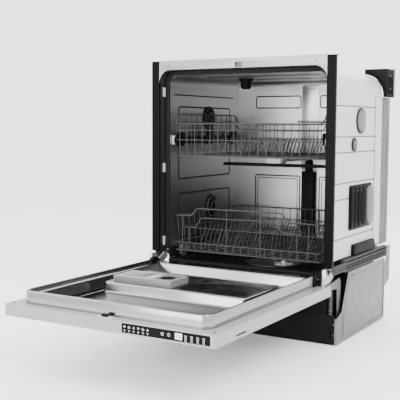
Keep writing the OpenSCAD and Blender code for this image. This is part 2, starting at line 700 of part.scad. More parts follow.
module spray_arm(z, reach, w) {
    difference() {
        union() {
            rod_z(0, rack_mid, 22, [z, z + 10]);
            translate([0, rack_mid, z]) linear_extrude(10)
                polygon([
                    [-reach, -w / 3], [-reach, w / 3], [0, w / 2],
                    [reach, w / 3], [reach, -w / 3], [0, -w / 2]]);
        }
        for (k = [0.35, 0.5, 0.65, 0.8, 0.93], s = [-1, 1])
            rod_z(s * k * reach, rack_mid + s * (k - 0.6) * 14, 1.6, [z + 7, z + 11]);
    }
}

module upper_feed_pipe() place() color(white) {
    rod_y(feed_x, feed_z, 9, [rack_mid, tub_y1 - 25]);
    box([-26, 30], [rack_mid - 24, rack_mid + 24], [upper_arm_z + 10.4, feed_z + 4]);
}

module upper_spray_arm() place() color(dark) spray_arm(upper_arm_z, arm_reach - 20, 44);

module upper_rails() place() color(metal) both() {
    box([tub_w - 12, tub_w - 9.5], [rack_y0 + 4, rack_y1 - 4], [rail_z - 8, rail_z + 8]);
}

module lower_rack() place() color(metal) {
    rack_floor(rack_w - wire, [rack_y0, rack_y1], lower_z, 44);
    both() rack_side(rack_w, [rack_y0 + wire, rack_y1 - wire], [lower_z + 4, lower_side_z], [0, 0.3, 1]);
    rack_front(rack_w - wire, rack_y0 + wire / 2, [lower_z + 4, lower_front_z], [0, 0.25, 0.8, 1]);
    rack_front(rack_w - wire, rack_y1 - wire / 2, [lower_z + 4, lower_side_z], [0, 0.3, 1]);
    for (x = lower_rows) comb(x, tine_y, lower_z + wire + seam, tine_h, 0);
    both() for (y = wheel_y) {
        box([rack_w - 3, rack_w + wire / 2 + 0.6], [y - 6, y + 6], [wheel_z - 4, lower_z + 3.9]);
        rod_x(y, wheel_z, 4, [rack_w + 0.5, wheel_x + wheel_w]);
    }
}

module folding_tines() place() color(metal) {
    comb(fold_x, tine_y, fold_z, tine_h, tine_step / 2);
    for (y = [rack_y0 + 14, rack_y1 - 22]) rod_y(fold_x, fold_z, pivot_r, [y, y + 8]);
}

module wheel(x, y) place() color(grey) translate([x, 0, 0]) difference() {
    rod_x(y, wheel_z, wheel_r, [0, wheel_w]);
    rod_x(y, wheel_z, 4.2, [-1, wheel_w + 1]);
}

module wheel_fl() wheel(-wheel_x - wheel_w, wheel_y[0]);
module wheel_fr() wheel(wheel_x, wheel_y[0]);
module wheel_rl() wheel(-wheel_x - wheel_w, wheel_y[1]);
module wheel_rr() wheel(wheel_x, wheel_y[1]);

module lower_spray_arm() place() color(dark) spray_arm(floor_z + 22, arm_reach, 52);

base_tray();
base_sides();
toe_kick();
foot_front_left();
foot_front_right();
foot_rear_left();
foot_rear_right();
base_rails();
tub_wrap();
tub_back();
tub_floor();
insulation();
tub_jacket();
front_frame();
door_gasket();
sill_seal();
side_trims();
rear_straps();
corner_brackets();
jacket_caps();
breather();
cable_cover();
hinge_brackets();
balance_springs();
latch_keeper();
rail_guides();
rear_duct();
ceiling_sprayer();
wall_caps();
sump();
filter_plate();
filter_cylinder();
circulation_pump();
drain_pump();
inlet_valve();
door_outer_panel();
control_console();
control_glass();
control_board();
door_inner_pan();
pan_end_caps();
dispenser_body();
detergent_lid();
rinse_aid_cap();
latch_housing();
latch_hook();
hinge_arms();
door_screws();
upper_rack();
cup_shelf();
upper_feed_pipe();
upper_spray_arm();
upper_rails();
lower_rack();
folding_tines();
wheel_fl();
wheel_fr();
wheel_rl();
wheel_rr();
lower_spray_arm();
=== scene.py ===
"""Looks for the built-in dishwasher: materials for every part and finer pieces over the CAD frame."""

import json
import math

import bmesh
import bpy
from mathutils import Matrix, Vector


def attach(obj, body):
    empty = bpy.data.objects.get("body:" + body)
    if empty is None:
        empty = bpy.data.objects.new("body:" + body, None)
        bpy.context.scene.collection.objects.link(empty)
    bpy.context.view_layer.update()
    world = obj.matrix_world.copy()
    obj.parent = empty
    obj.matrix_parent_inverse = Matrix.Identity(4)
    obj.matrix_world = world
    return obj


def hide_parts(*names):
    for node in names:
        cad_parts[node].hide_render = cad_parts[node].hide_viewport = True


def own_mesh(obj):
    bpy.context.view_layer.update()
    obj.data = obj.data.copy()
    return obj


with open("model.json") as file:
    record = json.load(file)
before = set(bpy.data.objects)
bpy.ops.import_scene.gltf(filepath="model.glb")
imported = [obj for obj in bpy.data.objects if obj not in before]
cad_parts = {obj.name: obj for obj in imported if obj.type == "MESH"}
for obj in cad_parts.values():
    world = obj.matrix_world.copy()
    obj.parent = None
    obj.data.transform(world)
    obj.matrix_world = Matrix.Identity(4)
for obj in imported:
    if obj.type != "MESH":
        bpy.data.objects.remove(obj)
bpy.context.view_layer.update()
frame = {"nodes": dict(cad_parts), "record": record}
NODES = frame["nodes"]
BODY_OF = {n: b for b, names in frame["record"]["behaviour"]["bodies"].items() for n in names}

MM = 0.001  # metres in a millimetre
CAMERA_PLACE = (1.141, -2.063, 0.621)
CAMERA_TURN = (30.76, 5.14, -0.29)  # yaw, pitch and roll in degrees
CAMERA_LENS = 74.7
STUDIO_LIGHT = 3.1  # strength of the world's light
FLOOR_REACH = 9


# ---- camera, lights, floor

def link(obj):
    bpy.context.scene.collection.objects.link(obj)


def make_camera():
    """Right of the front, above the middle, looking slightly down."""
    data = bpy.data.cameras.new("camera")
    camera = bpy.data.objects.new("camera", data)
    link(camera)
    yaw, pitch, roll = map(math.radians, CAMERA_TURN)
    turn = (Matrix.Rotation(yaw, 4, "Z") @ Matrix.Rotation(math.pi / 2 - pitch, 4, "X")
            @ Matrix.Rotation(-roll, 4, "Z"))
    camera.matrix_world = Matrix.Translation(CAMERA_PLACE) @ turn
    data.lens = CAMERA_LENS
    data.sensor_width = 36
    bpy.context.scene.camera = camera


def area_light(name, place, target, size, power):
    """A rectangular lamp, turned to its target."""
    data = bpy.data.lights.new(name, "AREA")
    data.shape = "RECTANGLE"
    data.size, data.size_y = size
    data.energy = power
    light = bpy.data.objects.new(name, data)
    link(light)
    light.location = place
    light.rotation_euler = (Vector(target) - Vector(place)).to_track_quat("-Z", "Y").to_euler()


def make_studio():
    """A bright even room, four soft lamps and a pale floor."""
    world = bpy.data.worlds.new("studio")
    world.use_nodes = True
    fill(world.node_tree.nodes["Background"], Color=(0.95, 0.96, 1.0, 1), Strength=STUDIO_LIGHT)
    bpy.context.scene.world = world
    area_light("key", (2.4, -1.6, 2.6), (0, 0, 0.4), (1.6, 1.6), 150)
    area_light("fill", (-2.6, -2.4, 1.8), (0, -0.2, 0.3), (2.2, 1.6), 45)
    area_light("front", (-0.3, -3.2, 1.0), (0, 0.3, 0.5), (2.4, 1.6), 120)
    area_light("rear", (-0.6, 2.8, 2.2), (0, 0.2, 0.4), (2.0, 1.4), 50)
    mesh = bpy.data.meshes.new("floor")
    s = FLOOR_REACH
    mesh.from_pydata([(-s, -s, 0), (s, -s, 0), (s, s, 0), (-s, s, 0)], [], [(0, 1, 2, 3)])
    floor = bpy.data.objects.new("floor", mesh)
    link(floor)
    floor.location.z = -0.0005
    mesh.materials.append(paint("floor_paint", (0.93, 0.93, 0.93), 0.7, 40))


# ---- materials

def shader(name):
    """A new material with its node tree and main shader."""
    material = bpy.data.materials.new(name)
    material.use_nodes = True
    tree = material.node_tree
    return material, tree, tree.nodes["Principled BSDF"]


def fill(node, **values):
    """Sets a node's inputs; an underscore in a name stands for a space."""
    for name, value in values.items():
        node.inputs[name.replace("_", " ")].default_value = value


def coords(tree, scale=(1, 1, 1)):
    """Object coordinates, which are the frame's metres, stretched by scale."""
    place = tree.nodes.new("ShaderNodeTexCoord")
    mapping = tree.nodes.new("ShaderNodeMapping")
    fill(mapping, Scale=scale)
    tree.links.new(place.outputs["Object"], mapping.inputs["Vector"])
    return mapping.outputs["Vector"]


def noise(tree, scale, detail=4, rough=0.55, stretch=(1, 1, 1)):
    """A noise in object space, stretched along the axes."""
    node = tree.nodes.new("ShaderNodeTexNoise")
    fill(node, Scale=scale, Detail=detail, Roughness=rough)
    tree.links.new(coords(tree, stretch), node.inputs["Vector"])
    return node.outputs["Fac"]


def spread(tree, value, low, high):
    """Stretches a 0.3 to 0.7 noise into the range low to high."""
    node = tree.nodes.new("ShaderNodeMapRange")
    fill(node, From_Min=0.3, From_Max=0.7, To_Min=low, To_Max=high)
    tree.links.new(value, node.inputs["Value"])
    return node.outputs["Result"]


def colour_by(tree, bsdf, value, colour, low, high):
    """Runs the base colour from low to high times the colour, by a 0 to 1 value."""
    node = tree.nodes.new("ShaderNodeMix")
    node.data_type = "RGBA"
    dark, light = (tuple(min(1.0, c * k) for c in colour) for k in (low, high))
    fill(node, A=(*dark, 1), B=(*light, 1))
    tree.links.new(value, node.inputs["Factor"])
    tree.links.new(node.outputs["Result"], bsdf.inputs["Base Color"])


def rough_by(tree, bsdf, value, low, high):
    """Runs the roughness from low to high with a noise."""
    tree.links.new(spread(tree, value, low, high), bsdf.inputs["Roughness"])


def bump(tree, bsdf, value, depth, strength):
    """Raises the surface by a value, depth metres high."""
    node = tree.nodes.new("ShaderNodeBump")
    fill(node, Distance=depth, Strength=strength)
    tree.links.new(value, node.inputs["Height"])
    tree.links.new(node.outputs["Normal"], bsdf.inputs["Normal"])


def steel(name, colour, rough, grain=(6, 420, 420), contrast=0.03, marks=0.25):
    """Brushed sheet: long scratches along grain's smallest axis, faint handling marks."""
    material, tree, bsdf = shader(name)
    fill(bsdf, Metallic=1.0)
    brush = noise(tree, 2.6, 3, 0.6, grain)
    cloud = noise(tree, 5.5, 5, 0.6)
    colour_by(tree, bsdf, spread(tree, brush, 0, 1), colour, 1 - contrast, 1 + contrast)
    mix = tree.nodes.new("ShaderNodeMath")
    mix.operation = "MULTIPLY"
    tree.links.new(spread(tree, brush, rough * 0.85, rough * 1.2), mix.inputs[0])
    tree.links.new(spread(tree, cloud, 1 - 0.35 * marks, 1 + 0.35 * marks), mix.inputs[1])
    tree.links.new(mix.outputs[0], bsdf.inputs["Roughness"])
    bump(tree, bsdf, brush, 0.000004, 0.25)
    return material


def galvanised(name, colour, rough):
    """Zinc-coated sheet: soft crystal patches that differ in shade and gloss."""
    material, tree, bsdf = shader(name)
    fill(bsdf, Metallic=0.85)
    cell = tree.nodes.new("ShaderNodeTexVoronoi")
    fill(cell, Scale=95)
    tree.links.new(coords(tree), cell.inputs["Vector"])
    grey = tree.nodes.new("ShaderNodeRGBToBW")
    tree.links.new(cell.outputs["Color"], grey.inputs["Color"])
    colour_by(tree, bsdf, grey.outputs[0], colour, 0.93, 1.06)
    rough_by(tree, bsdf, grey.outputs[0], rough * 0.85, rough * 1.15)
    bump(tree, bsdf, noise(tree, 60, 3), 0.0001, 0.3)
    return material


BLACK_BELOW, BLACK_SHINE = 0.05, 0.05  # plastics darker than this shine less


def plastic(name, colour, rough, texture=900, depth=0.00004, drift=0.08):
    """Moulded plastic: a fine spark-eroded grain and a slow drift in shade."""
    material, tree, bsdf = shader(name)
    slow = noise(tree, 9, 3)
    fine = noise(tree, texture, 2)
    colour_by(tree, bsdf, spread(tree, slow, 0, 1), colour, 1 - drift, 1 + drift)
    rough_by(tree, bsdf, slow, rough * 0.9, rough * 1.12)
    bump(tree, bsdf, fine, depth, 0.5)
    if max(colour) < BLACK_BELOW:
        fill(bsdf, Specular_IOR_Level=BLACK_SHINE)
    return material


def paint(name, colour, rough, peel=160):
    """Powder coat: faint orange peel under a satin top."""
    material, tree, bsdf = shader(name)
    slow = noise(tree, 3.5, 4)
    colour_by(tree, bsdf, spread(tree, slow, 0, 1), colour, 0.965, 1.02)
    rough_by(tree, bsdf, slow, rough * 0.92, rough * 1.1)
    bump(tree, bsdf, noise(tree, peel, 2), 0.00008, 0.4)
    fill(bsdf, Coat_Weight=0.15, Coat_Roughness=0.3)
    return material


def rubber(name, colour, rough):
    """Matt rubber with a faint bloom."""
    material, tree, bsdf = shader(name)
    bloom = noise(tree, 24, 5)
    colour_by(tree, bsdf, spread(tree, bloom, 0, 1), colour, 1, 1.8)
    rough_by(tree, bsdf, bloom, rough, min(1, rough * 1.2))
    bump(tree, bsdf, noise(tree, 1400, 2), 0.00005, 0.4)
    fill(bsdf, Specular_IOR_Level=0.15)
    return material


def felt(name, colour):
    """Pressed fibre matting, quite dull."""
    material, tree, bsdf = shader(name)
    fill(bsdf, Roughness=0.95)
    fibre = noise(tree, 260, 6, 0.75, (1, 1, 3))
    colour_by(tree, bsdf, spread(tree, fibre, 0, 1), colour, 0.6, 1.6)
    bump(tree, bsdf, fibre, 0.0012, 0.8)
    return material


# name, nodes, maker and the maker's values
FINISHES = (
    ("tub_steel", "tub_wrap", steel, (0.42, 0.42, 0.415), 0.36, (420, 5, 420)),
    ("back_steel", "tub_back", steel, (0.3, 0.3, 0.2968), 0.32, (5, 420, 420)),
    ("pan_steel", "door_inner_pan", steel, (0.25, 0.25, 0.2479), 0.16, (5, 380, 380)),
    # a near-black copy of the pan steel: painted shade in the door's recess
    ("well_steel", "", steel, (0.05, 0.05, 0.0494), 0.20, (5, 380, 380)),
    # near-black steel for beads and groove lines: painted shadow lines
    ("crease", "", steel, (0.015, 0.015, 0.015), 0.40, (60, 60, 60)),
    ("frame_steel", "front_frame", steel, (0.2, 0.2, 0.1985), 0.34, (5, 420, 420)),
    ("rail_steel", "rail_guides upper_rails", steel, (0.14, 0.14, 0.1382), 0.30, (420, 4, 420)),
    ("filter_steel", "filter_plate", steel, (0.18, 0.18, 0.174), 0.38, (90, 90, 90)),
    ("zinc", "base_sides", galvanised, (0.15, 0.1532, 0.1596), 0.46),
    ("zinc_light", "hinge_arms", galvanised, (0.4, 0.4054, 0.4162), 0.38),
    ("zinc_dark", "rear_straps hinge_brackets latch_keeper door_screws",
     galvanised, (0.085, 0.0864, 0.0892), 0.45),
    ("spring", "balance_springs", steel, (0.12, 0.12, 0.1255), 0.32, (90, 90, 600)),
    ("jacket", "tub_jacket", paint, (0.42, 0.42, 0.4172), 0.45),
    ("door_skin", "door_outer_panel", paint, (0.2, 0.2032, 0.2081), 0.36),
    ("console", "control_console", plastic, (0.2, 0.2017, 0.205), 0.40),
    ("trim", "side_trims", plastic, (0.002, 0.002, 0.0022), 0.42),
    ("black", "wall_caps ceiling_sprayer pan_end_caps latch_hook "
     "rinse_aid_cap foot_front_left foot_front_right foot_rear_left foot_rear_right",
     plastic, (0.003, 0.003, 0.0034), 0.42),
    ("bracket", "corner_brackets", plastic, (0.006, 0.006, 0.0064), 0.6),
    ("tray", "base_tray toe_kick sump", plastic, (0.0045, 0.0045, 0.005), 0.5),
    ("tub_base", "tub_floor", plastic, (0.007, 0.007, 0.0074), 0.42),
    ("duct", "rear_duct upper_spray_arm lower_spray_arm breather cable_cover",
     plastic, (0.004, 0.004, 0.0044), 0.55),
    ("rail_grey", "base_rails", plastic, (0.035, 0.0357, 0.0367), 0.5),
    ("cap_grey", "jacket_caps", plastic, (0.085, 0.0866, 0.0903), 0.45),
    ("light_plastic", "upper_feed_pipe latch_housing filter_cylinder", plastic, (0.34, 0.3457, 0.3485), 0.42),
    ("pump_white", "circulation_pump drain_pump inlet_valve", plastic, (0.32, 0.3264, 0.32), 0.5),
    ("wheel", "wheel_fl wheel_fr wheel_rl wheel_rr", plastic, (0.06, 0.0611, 0.0637), 0.45),
    ("dispenser", "dispenser_body detergent_lid", plastic, (0.085, 0.0864, 0.0878), 0.30),
    ("glass", "control_glass", plastic, (0.003, 0.003, 0.0035), 0.10, 200, 0.00001),
    ("board", "control_board", plastic, (0.02, 0.16, 0.06), 0.4),
    ("wire_grey", "upper_rack cup_shelf lower_rack folding_tines",
     plastic, (0.038, 0.0386, 0.0404), 0.36, 500),
    ("gasket", "door_gasket sill_seal", rubber, (0.0025, 0.0025, 0.0025), 0.6),
    ("felt", "insulation", felt, (0.05, 0.05, 0.05)),
    ("icon", "", plastic, (0.60, 0.62, 0.65), 0.4, 400, 0.00001, 0.12),
)
MAT = {name: maker(name, *values) for name, nodes, maker, *values in FINISHES}
MATERIAL_OF = {node: MAT[name] for name, nodes, *rest in FINISHES for node in nodes.split()}


def paint_nodes():
    for name, node in NODES.items():
        node.data.materials.clear()
        node.data.materials.append(MATERIAL_OF[name])


# ---- mesh helpers

Y_MID = 65  # the frame's Y is this far behind the front frame's, in millimetres
PUT = {"x": lambda h, p: (h, *p), "y": lambda h, p: (p[0], h, p[1]), "z": lambda h, p: (*p, h)}


def angles(n):
    return [2 * math.pi * k / n for k in range(n)]


def circle(centre, r, n):
    return [(centre[0] + r * math.cos(a), centre[1] + r * math.sin(a)) for a in angles(n)]


def level(outline, z):
    """The outline as a ring of points at height z."""
    return [(a, b, z) for a, b in outline]


def across(s, a, b):
    """The span from a to b on side s, lower end first."""
    return sorted((s * a, s * b))


def between(outline, other, k):
    """The points k of the way from one outline to another."""
    return [(p[0] * (1 - k) + q[0] * k, p[1] * (1 - k) + q[1] * k) for p, q in zip(outline, other)]


def inset(outline, d):
    """The outline moved inwards by d, keeping its corners."""
    out = []
    for i, point in enumerate(outline):
        a, b, c = Vector(outline[i - 1]), Vector(point), Vector(outline[(i + 1) % len(outline)])
        u, v = (b - a).normalized(), (c - b).normalized()
        m = Vector((-u.y - v.y, u.x + v.x))
        m = m / max(0.35, m.length_squared / 2)
        out.append((b.x + m.x * d, b.y + m.y * d))
    return out


def winding(outline):
    """Above zero when the outline runs anticlockwise."""
    pairs = [(outline[i - 1], outline[i]) for i in range(len(outline))]
    return sum(p[0] * q[1] - q[0] * p[1] for p, q in pairs)


def rounded(x, y, r, n=5):
    """A rectangle outline with round corners, anticlockwise."""
    r = min(r, (x[1] - x[0]) / 2 - 0.01, (y[1] - y[0]) / 2 - 0.01)
    out = []
    for cx, cy, start in ((x[1] - r, y[0] + r, -90), (x[1] - r, y[1] - r, 0), (x[0] + r, y[1] - r, 90),
            (x[0] + r, y[0] + r, 180)):
        for i in range(n + 1):
            a = math.radians(start + 90 * i / n)
            out.append((cx + r * math.cos(a), cy + r * math.sin(a)))
    return out


def bend(points, r, n=4, closed=False):
    """Rounds the corners of a path with arcs of about radius r."""
    pts = [Vector(p) for p in points]
    out = []
    for i, p in enumerate(pts):
        if not closed and i in (0, len(pts) - 1):
            out.append(p)
            continue
        a, c = pts[i - 1], pts[(i + 1) % len(pts)]
        k = min(r, (a - p).length * 0.49, (c - p).length * 0.49)
        s, e = p + (a - p).normalized() * k, p + (c - p).normalized() * k
        for t in (j / n for j in range(n + 1)):
            out.append(s * (1 - t) ** 2 + p * (2 * t * (1 - t)) + e * t ** 2)
    return out


def rectangle(axis, height, u, v, r, n=5):
    """A closed path round a rectangle across the axis, with round corners."""
    corners = ((u[0], v[0]), (u[1], v[0]), (u[1], v[1]), (u[0], v[1]))
    return bend([PUT[axis](height, p) for p in corners], r, n, True)


def round_corners(outline, r):
    """The outline with its corners rounded by about r."""
    return [(v.x, v.y) for v in bend([(a, b, 0) for a, b in outline], r, 3, True)]


def spaced(a, b, pitch):
    """Even steps from a to b, about a pitch apart."""
    n = max(1, round((b - a) / pitch))
    return [a + (b - a) * i / n for i in range(n + 1)]


def finished(name, mesh, material, smooth):
    """An object with its finish; edges sharper than smooth degrees stay sharp."""
    mesh.materials.append(material)
    mesh.shade_smooth()
    mesh.set_sharp_from_angle(angle=math.radians(smooth))
    obj = bpy.data.objects.new(name, mesh)
    link(obj)
    return obj


class Shape:
    """Collects the faces of one piece. Lengths are millimetres, with Y measured from the front frame."""

    def __init__(self):
        self.verts, self.faces = [], []

    def loft(self, rings, wrap=True, caps=True):
        """Skins rings of points; wrap closes each ring, caps fills the first and the last."""
        base, n = len(self.verts), len(rings[0])
        for ring in rings:
            self.verts += [tuple(p) for p in ring]
        for k in range(len(rings) - 1):
            for i in range(n if wrap else n - 1):
                j = (i + 1) % n
                a, b = base + k * n, base + (k + 1) * n
                self.faces.append((a + i, a + j, b + j, b + i))
        if caps:
            self.faces.append(tuple(base + i for i in reversed(range(n))))
            self.faces.append(tuple(base + (len(rings) - 1) * n + i for i in range(n)))

    def prism(self, axis, outline, lo, hi, edge=0.8):
        """An outline swept along an axis, with rounded rims."""
        outline = outline if winding(outline) > 0 else outline[::-1]
        edge = min(edge, (hi - lo) * 0.45)
        turn = [(edge * (1 - math.sin(t)), edge * (1 - math.cos(t))) for t in (0, math.pi / 4, math.pi / 2)]
        levels = [(lo + up, away) for away, up in turn] + [(hi - up, away) for away, up in turn[::-1]]
        self.loft([[PUT[axis](h, p) for p in inset(outline, away)] for h, away in levels])

    def face(self, ring):
        """One flat face on points of its own."""
        base = len(self.verts)
        self.verts += ring
        self.faces.append(tuple(range(base, base + len(ring))))

    def block(self, x, y, z, r=2.0, edge=0.8, axis="z"):
        """A box with its four edges along the axis rounded by r and its rims by edge."""
        u, v, span = {"x": (y, z, x), "y": (x, z, y), "z": (x, y, z)}[axis]
        self.prism(axis, rounded(u, v, r), *span, edge)

    def lathe(self, axis, centre, profile, sides=32):
        """A (radius, height) profile turned about an axis through the centre."""
        rings = [[PUT[axis](h, p) for p in circle((0, 0), r, sides)] for r, h in profile]
        self.loft([[tuple(c + d for c, d in zip(centre, p)) for p in ring] for ring in rings])

    def tube(self, path, r, sides=8, closed=False, flat=1.0, side=(0, 0, 1)):
        """A round bar along a path; flat squashes it across the side direction."""
        pts = [Vector(p) for p in path]
        n = len(pts)
        rings, up = [], Vector(side)
        for i, p in enumerate(pts):
            before = pts[i - 1] if (closed or i) else p
            after = pts[(i + 1) % n] if (closed or i < n - 1) else p
            t = (after - before).normalized()
            if abs(t.dot(up)) > 0.97:
                up = Vector((1, 0, 0)) if abs(t.x) < 0.7 else Vector((0, 1, 0))
            u = (up - t * up.dot(t)).normalized()
            v = t.cross(u)
            up = u
            rings.append([p + u * r * flat * math.cos(a) + v * r * math.sin(a) for a in angles(sides)])
        if closed:
            rings.append(rings[0])
        self.loft(rings, True, not closed)

    def bar(self, a, b, r, sides=8):
        self.tube([a, b], r, sides)

    def rod(self, axis, at, a, b, r, sides=6):
        """A round bar from a to b along an axis."""
        self.bar(PUT[axis](a, at), PUT[axis](b, at), r, sides)

    def object(self, name, material, smooth=38, closed=True):
        bm = bmesh.new()
        mesh = bpy.data.meshes.new(name)
        mesh.from_pydata([(x * MM, (y + Y_MID) * MM, z * MM) for x, y, z in self.verts], [], self.faces)
        bm.from_mesh(mesh)
        bmesh.ops.remove_doubles(bm, verts=bm.verts, dist=1e-6)
        if closed:
            bmesh.ops.recalc_face_normals(bm, faces=bm.faces)
        bm.to_mesh(mesh)
        bm.free()
        return finished(name, mesh, MAT[material], smooth)

    def stand(self, name, material, node, smooth=38, closed=True):
        """Makes the piece and lets it stand for a CAD node."""
        stands_for(self.object(name, material, smooth, closed), node)

    def add(self, name, material, node, smooth=38):
        """Makes an added piece, which moves with a node."""
        obj = self.object(name, material, smooth)
        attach(obj, BODY_OF[node])


def stands_for(obj, *nodes):
    """The piece rides where its first node rides and hides the nodes."""
    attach(obj, BODY_OF[nodes[0]])
    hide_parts(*nodes)


def soften(segments=2, **widths):
    """Rounds the edges of CAD nodes, each by its own width in millimetres."""
    for node, width in widths.items():
        softened(node, width, segments)


def softened(node, width, segments, angle=28):
    """A copy of a CAD node with its sharper edges rounded, standing for it."""
    bm = bmesh.new()
    bm.from_mesh(NODES[node].data)
    bmesh.ops.remove_doubles(bm, verts=bm.verts, dist=2e-6)
    bmesh.ops.dissolve_limit(bm, angle_limit=math.radians(0.6), verts=bm.verts, edges=bm.edges)
    edges = [e for e in bm.edges if len(e.link_faces) == 2 and e.calc_face_angle(0) > math.radians(angle)]
    bmesh.ops.bevel(bm, geom=edges, offset=width * MM, offset_type="OFFSET", segments=segments, profile=0.6,
            affect="EDGES", clamp_overlap=True)
    mesh = bpy.data.meshes.new("soft_" + node)
    bm.to_mesh(mesh)
    bm.free()
    stands_for(finished("soft_" + node, mesh, MATERIAL_OF[node], 35), node)


# ---- door

PAN_Y = -620  # the pan's free edge
PANEL_TOP, TRACK, RECESS, PLATEAU = 183, 205, 172, 200  # heights with the door open
DISPENSER_X, DISPENSER_Y, DISPENSER_Z = (-194, -8), (-344, -252), 214
CUP_BOTTOM, WELL_BOTTOM, DISPENSER_TOP = DISPENSER_Z - 21.6, DISPENSER_Z - 9, DISPENSER_Z + 3
GLASS_Y = -644.6


def u_ring(w, y, r, z, y_end, n=8):
    """An open outline of the pan, up its left side and round the free edge."""
    left = [(-w, y_end + (y + r - y_end) * k / 4, z) for k in range(4)]
    out = list(left)
    for cx, start in ((-w + r, 180), (w - r, 270)):
        for i in range(n + 1):
            a = math.radians(start + 90 * i / n)
            out.append((cx + r * math.cos(a), y + r + r * math.sin(a), z))
    return out + [(-px, py, pz) for px, py, pz in reversed(left)]


def door_pan():
    """The inner pan: a rounded rim, a wheel track, a deep recess and a plateau; the recess is painted much
    darker as painted shade.
    """
    shape = Shape()
    rim = [(268, 0, 30, PANEL_TOP), (268, 0, 30, 212.4), (267.2, 0.8, 29.2, 214.3), (265.4, 2.6, 27.4, 215),
           (262.6, 5.4, 24.6, 215), (260.8, 7.2, 22.8, 214.3), (260, 8, 22, 212.4), (260, 8, 22, 207.4),
           (259.4, 8.6, 21.4, 205.7), (257.6, 9.4, 20.6, TRACK)]
    shape.loft([u_ring(w, PAN_Y + d, r, z, -60) for w, d, r, z in rim], False, False)
    inner = [(257.6, 9.4, 20.6, TRACK), (244.6, 10, 20, TRACK), (242.8, 10.8, 19.2, 204.2),
             (241.8, 11.8, 18.2, 202), (239.6, 14, 17, 177), (238, 15.6, 15.4, 173.6),
             (234, 19.6, 11.4, RECESS)]
    shape.loft([u_ring(w, PAN_Y + d, r, z, -46) for w, d, r, z in inner[:4]], False, False)
    # the recess walls and floor take the near-black pan steel, painted shade in the recess
    well = Shape()
    well.loft([u_ring(w, PAN_Y + d, r, z, -46) for w, d, r, z in inner[3:]], False, False)
    w, edge = 234, PAN_Y + 19.6
    well.loft([level([(-w, y), (w, y)], RECESS) for y in (edge, -52)], False, False)
    well.add("pan_well", "well_steel", "door_inner_pan", 50)
    wall = [(-56, RECESS), (-52, 172.6), (-49.6, 174.6), (-48.4, 178), (-43.4, 200.5), (-42.2, 203),
            (-39.6, 204.7), (-36, TRACK), (-9, TRACK), (-5.4, 203.8), (-4, 200.6), (-4, PANEL_TOP)]
    shape.loft([[(x, y, z) for y, z in wall] for x in (-244, 244)], False, False)
    for s in (-1, 1):
        deck = [(-61, 204.9), (-9, 204.9), (-5.4, 203.7), (-4, 200.5), (-4, PANEL_TOP)]
        shape.loft([[(s * x, y, z) for y, z in deck] for x in (242.6, 266.6)], False, False)
        side = [(266.6, 204.9), (267.6, 204.2), (268, 203), (268, PANEL_TOP)]
        shape.loft([[(s * x, y, z) for x, z in side] for y in (-61, -4.2)], False, False)
    steps = ((5, RECESS - 0.3), (1.6, 173.2), (0, 176.4), (-1.6, 196), (-2.6, 198.6), (-5.2, PLATEAU))
    rings = [level(rounded((-216 - grow, 216 + grow), (-358 - grow, -150 + grow), 12 + grow, 6), z)
             for grow, z in steps]
    shape.loft(rings, True, False)
    shape.face(rings[-1])
    shape.stand("pan_sheet", "pan_steel", "door_inner_pan", 50)


def pan_beads():
    """Fine raised lines along the pan's sides, round its recess and round its plateau."""
    beads = Shape()
    for s in (-1, 1):
        beads.rod("y", (s * 268, 189), PAN_Y + 34, -8, 1.1)
        beads.rod("y", (s * 268, 199), -8, PAN_Y + 300, 0.7)
        beads.rod("y", (s * 248, TRACK), PAN_Y + 40, -30, 1.0)
    recess = level([(-225, PAN_Y + 30), (-225, -66), (225, -66), (225, PAN_Y + 30)], RECESS)
    beads.tube(bend(recess, 14, 5, True), 2.2, 6, True, 0.6)
    beads.tube(rectangle("z", PLATEAU, (-206, 206), (-349, -160), 12), 1.6, 6, True, 0.5)
    beads.add("pan_beads", "pan_steel", "door_inner_pan")


def screw(shape, axis, centre, r, h):
    """A domed screw whose head stands h along the axis from the centre."""
    profile = [(r, 0), (r, 0.25 * h), (0.82 * r, 0.75 * h), (0.45 * r, h), (0.30 * r, h),
               (0.26 * r, 0.45 * h), (0.02, 0.4 * h)]
    shape.lathe(axis, centre, profile, 20)


def door_parts():
    """The panel, arms, latch, control glass and board, screws and end caps."""
    soften(3, door_outer_panel=1.2, control_console=1.0)
    soften(hinge_arms=0.5, latch_housing=0.7, latch_hook=0.6)
    glass = Shape()
    glass.block((55.2, 284.8), (GLASS_Y, GLASS_Y + 1.4), (157.2, 178.8), 1.2, 0.3, "y")
    glass.stand("glass_pane", "glass", "control_glass")
    board = Shape()
    board.block((61, 279), (-640, -638.4), (158.2, 177.8), 2, 0.2, "y")
    for k in range(6):
        board.block((76 + 34 * k, 83 + 34 * k), (-638.4, -636.2), (162.5, 170), 0.6, 0.3, "y")
        board.rod("x", (-638, 161), 64 + 34 * k, 68 + 34 * k, 0.7)
    board.stand("board", "board", "control_board")
    screws = Shape()
    for s in (-1, 1):
        for y in (-627, -395, -90):
            screw(screws, "z", (s * 285, y, PANEL_TOP), 3.6, 1.6)
    screws.stand("panel_screws", "zinc_dark", "door_screws", 50)
    side_screws = Shape()
    for s in (-1, 1):
        for y in (-75, -200):
            screw(side_screws, "x", (s * 267.6, y, 194), 2.6, s * 1.4)
        screw(side_screws, "x", (s * 271.3, -34, 203), 3.4, s * 0.9)
        screw(side_screws, "x", (s * 291.2, -29, 206), 2.6, s * 0.8)
    side_screws.add("side_screws", "zinc", "door_inner_pan", 50)
    caps = Shape()
    for s in (-1, 1):
        side = [(-57, 185), (-14, 185), (-13, 190), (-13, 206), (-17, 215), (-24, 219.8), (-46, 219.8),
                (-54, 216), (-57.5, 208)]
        caps.prism("x", round_corners(side, 3), *across(s, 268.1, 271.5), 0.9)
        top = [(-58, 205.2), (-14, 205.2), (-13, 209), (-18, 216), (-26, 219), (-44, 219), (-53, 216),
               (-58, 210)]
        caps.prism("x", round_corners(top, 2.5), *across(s, 260.2, 268.6), 1.2)
    caps.stand("end_caps", "black", "pan_end_caps")


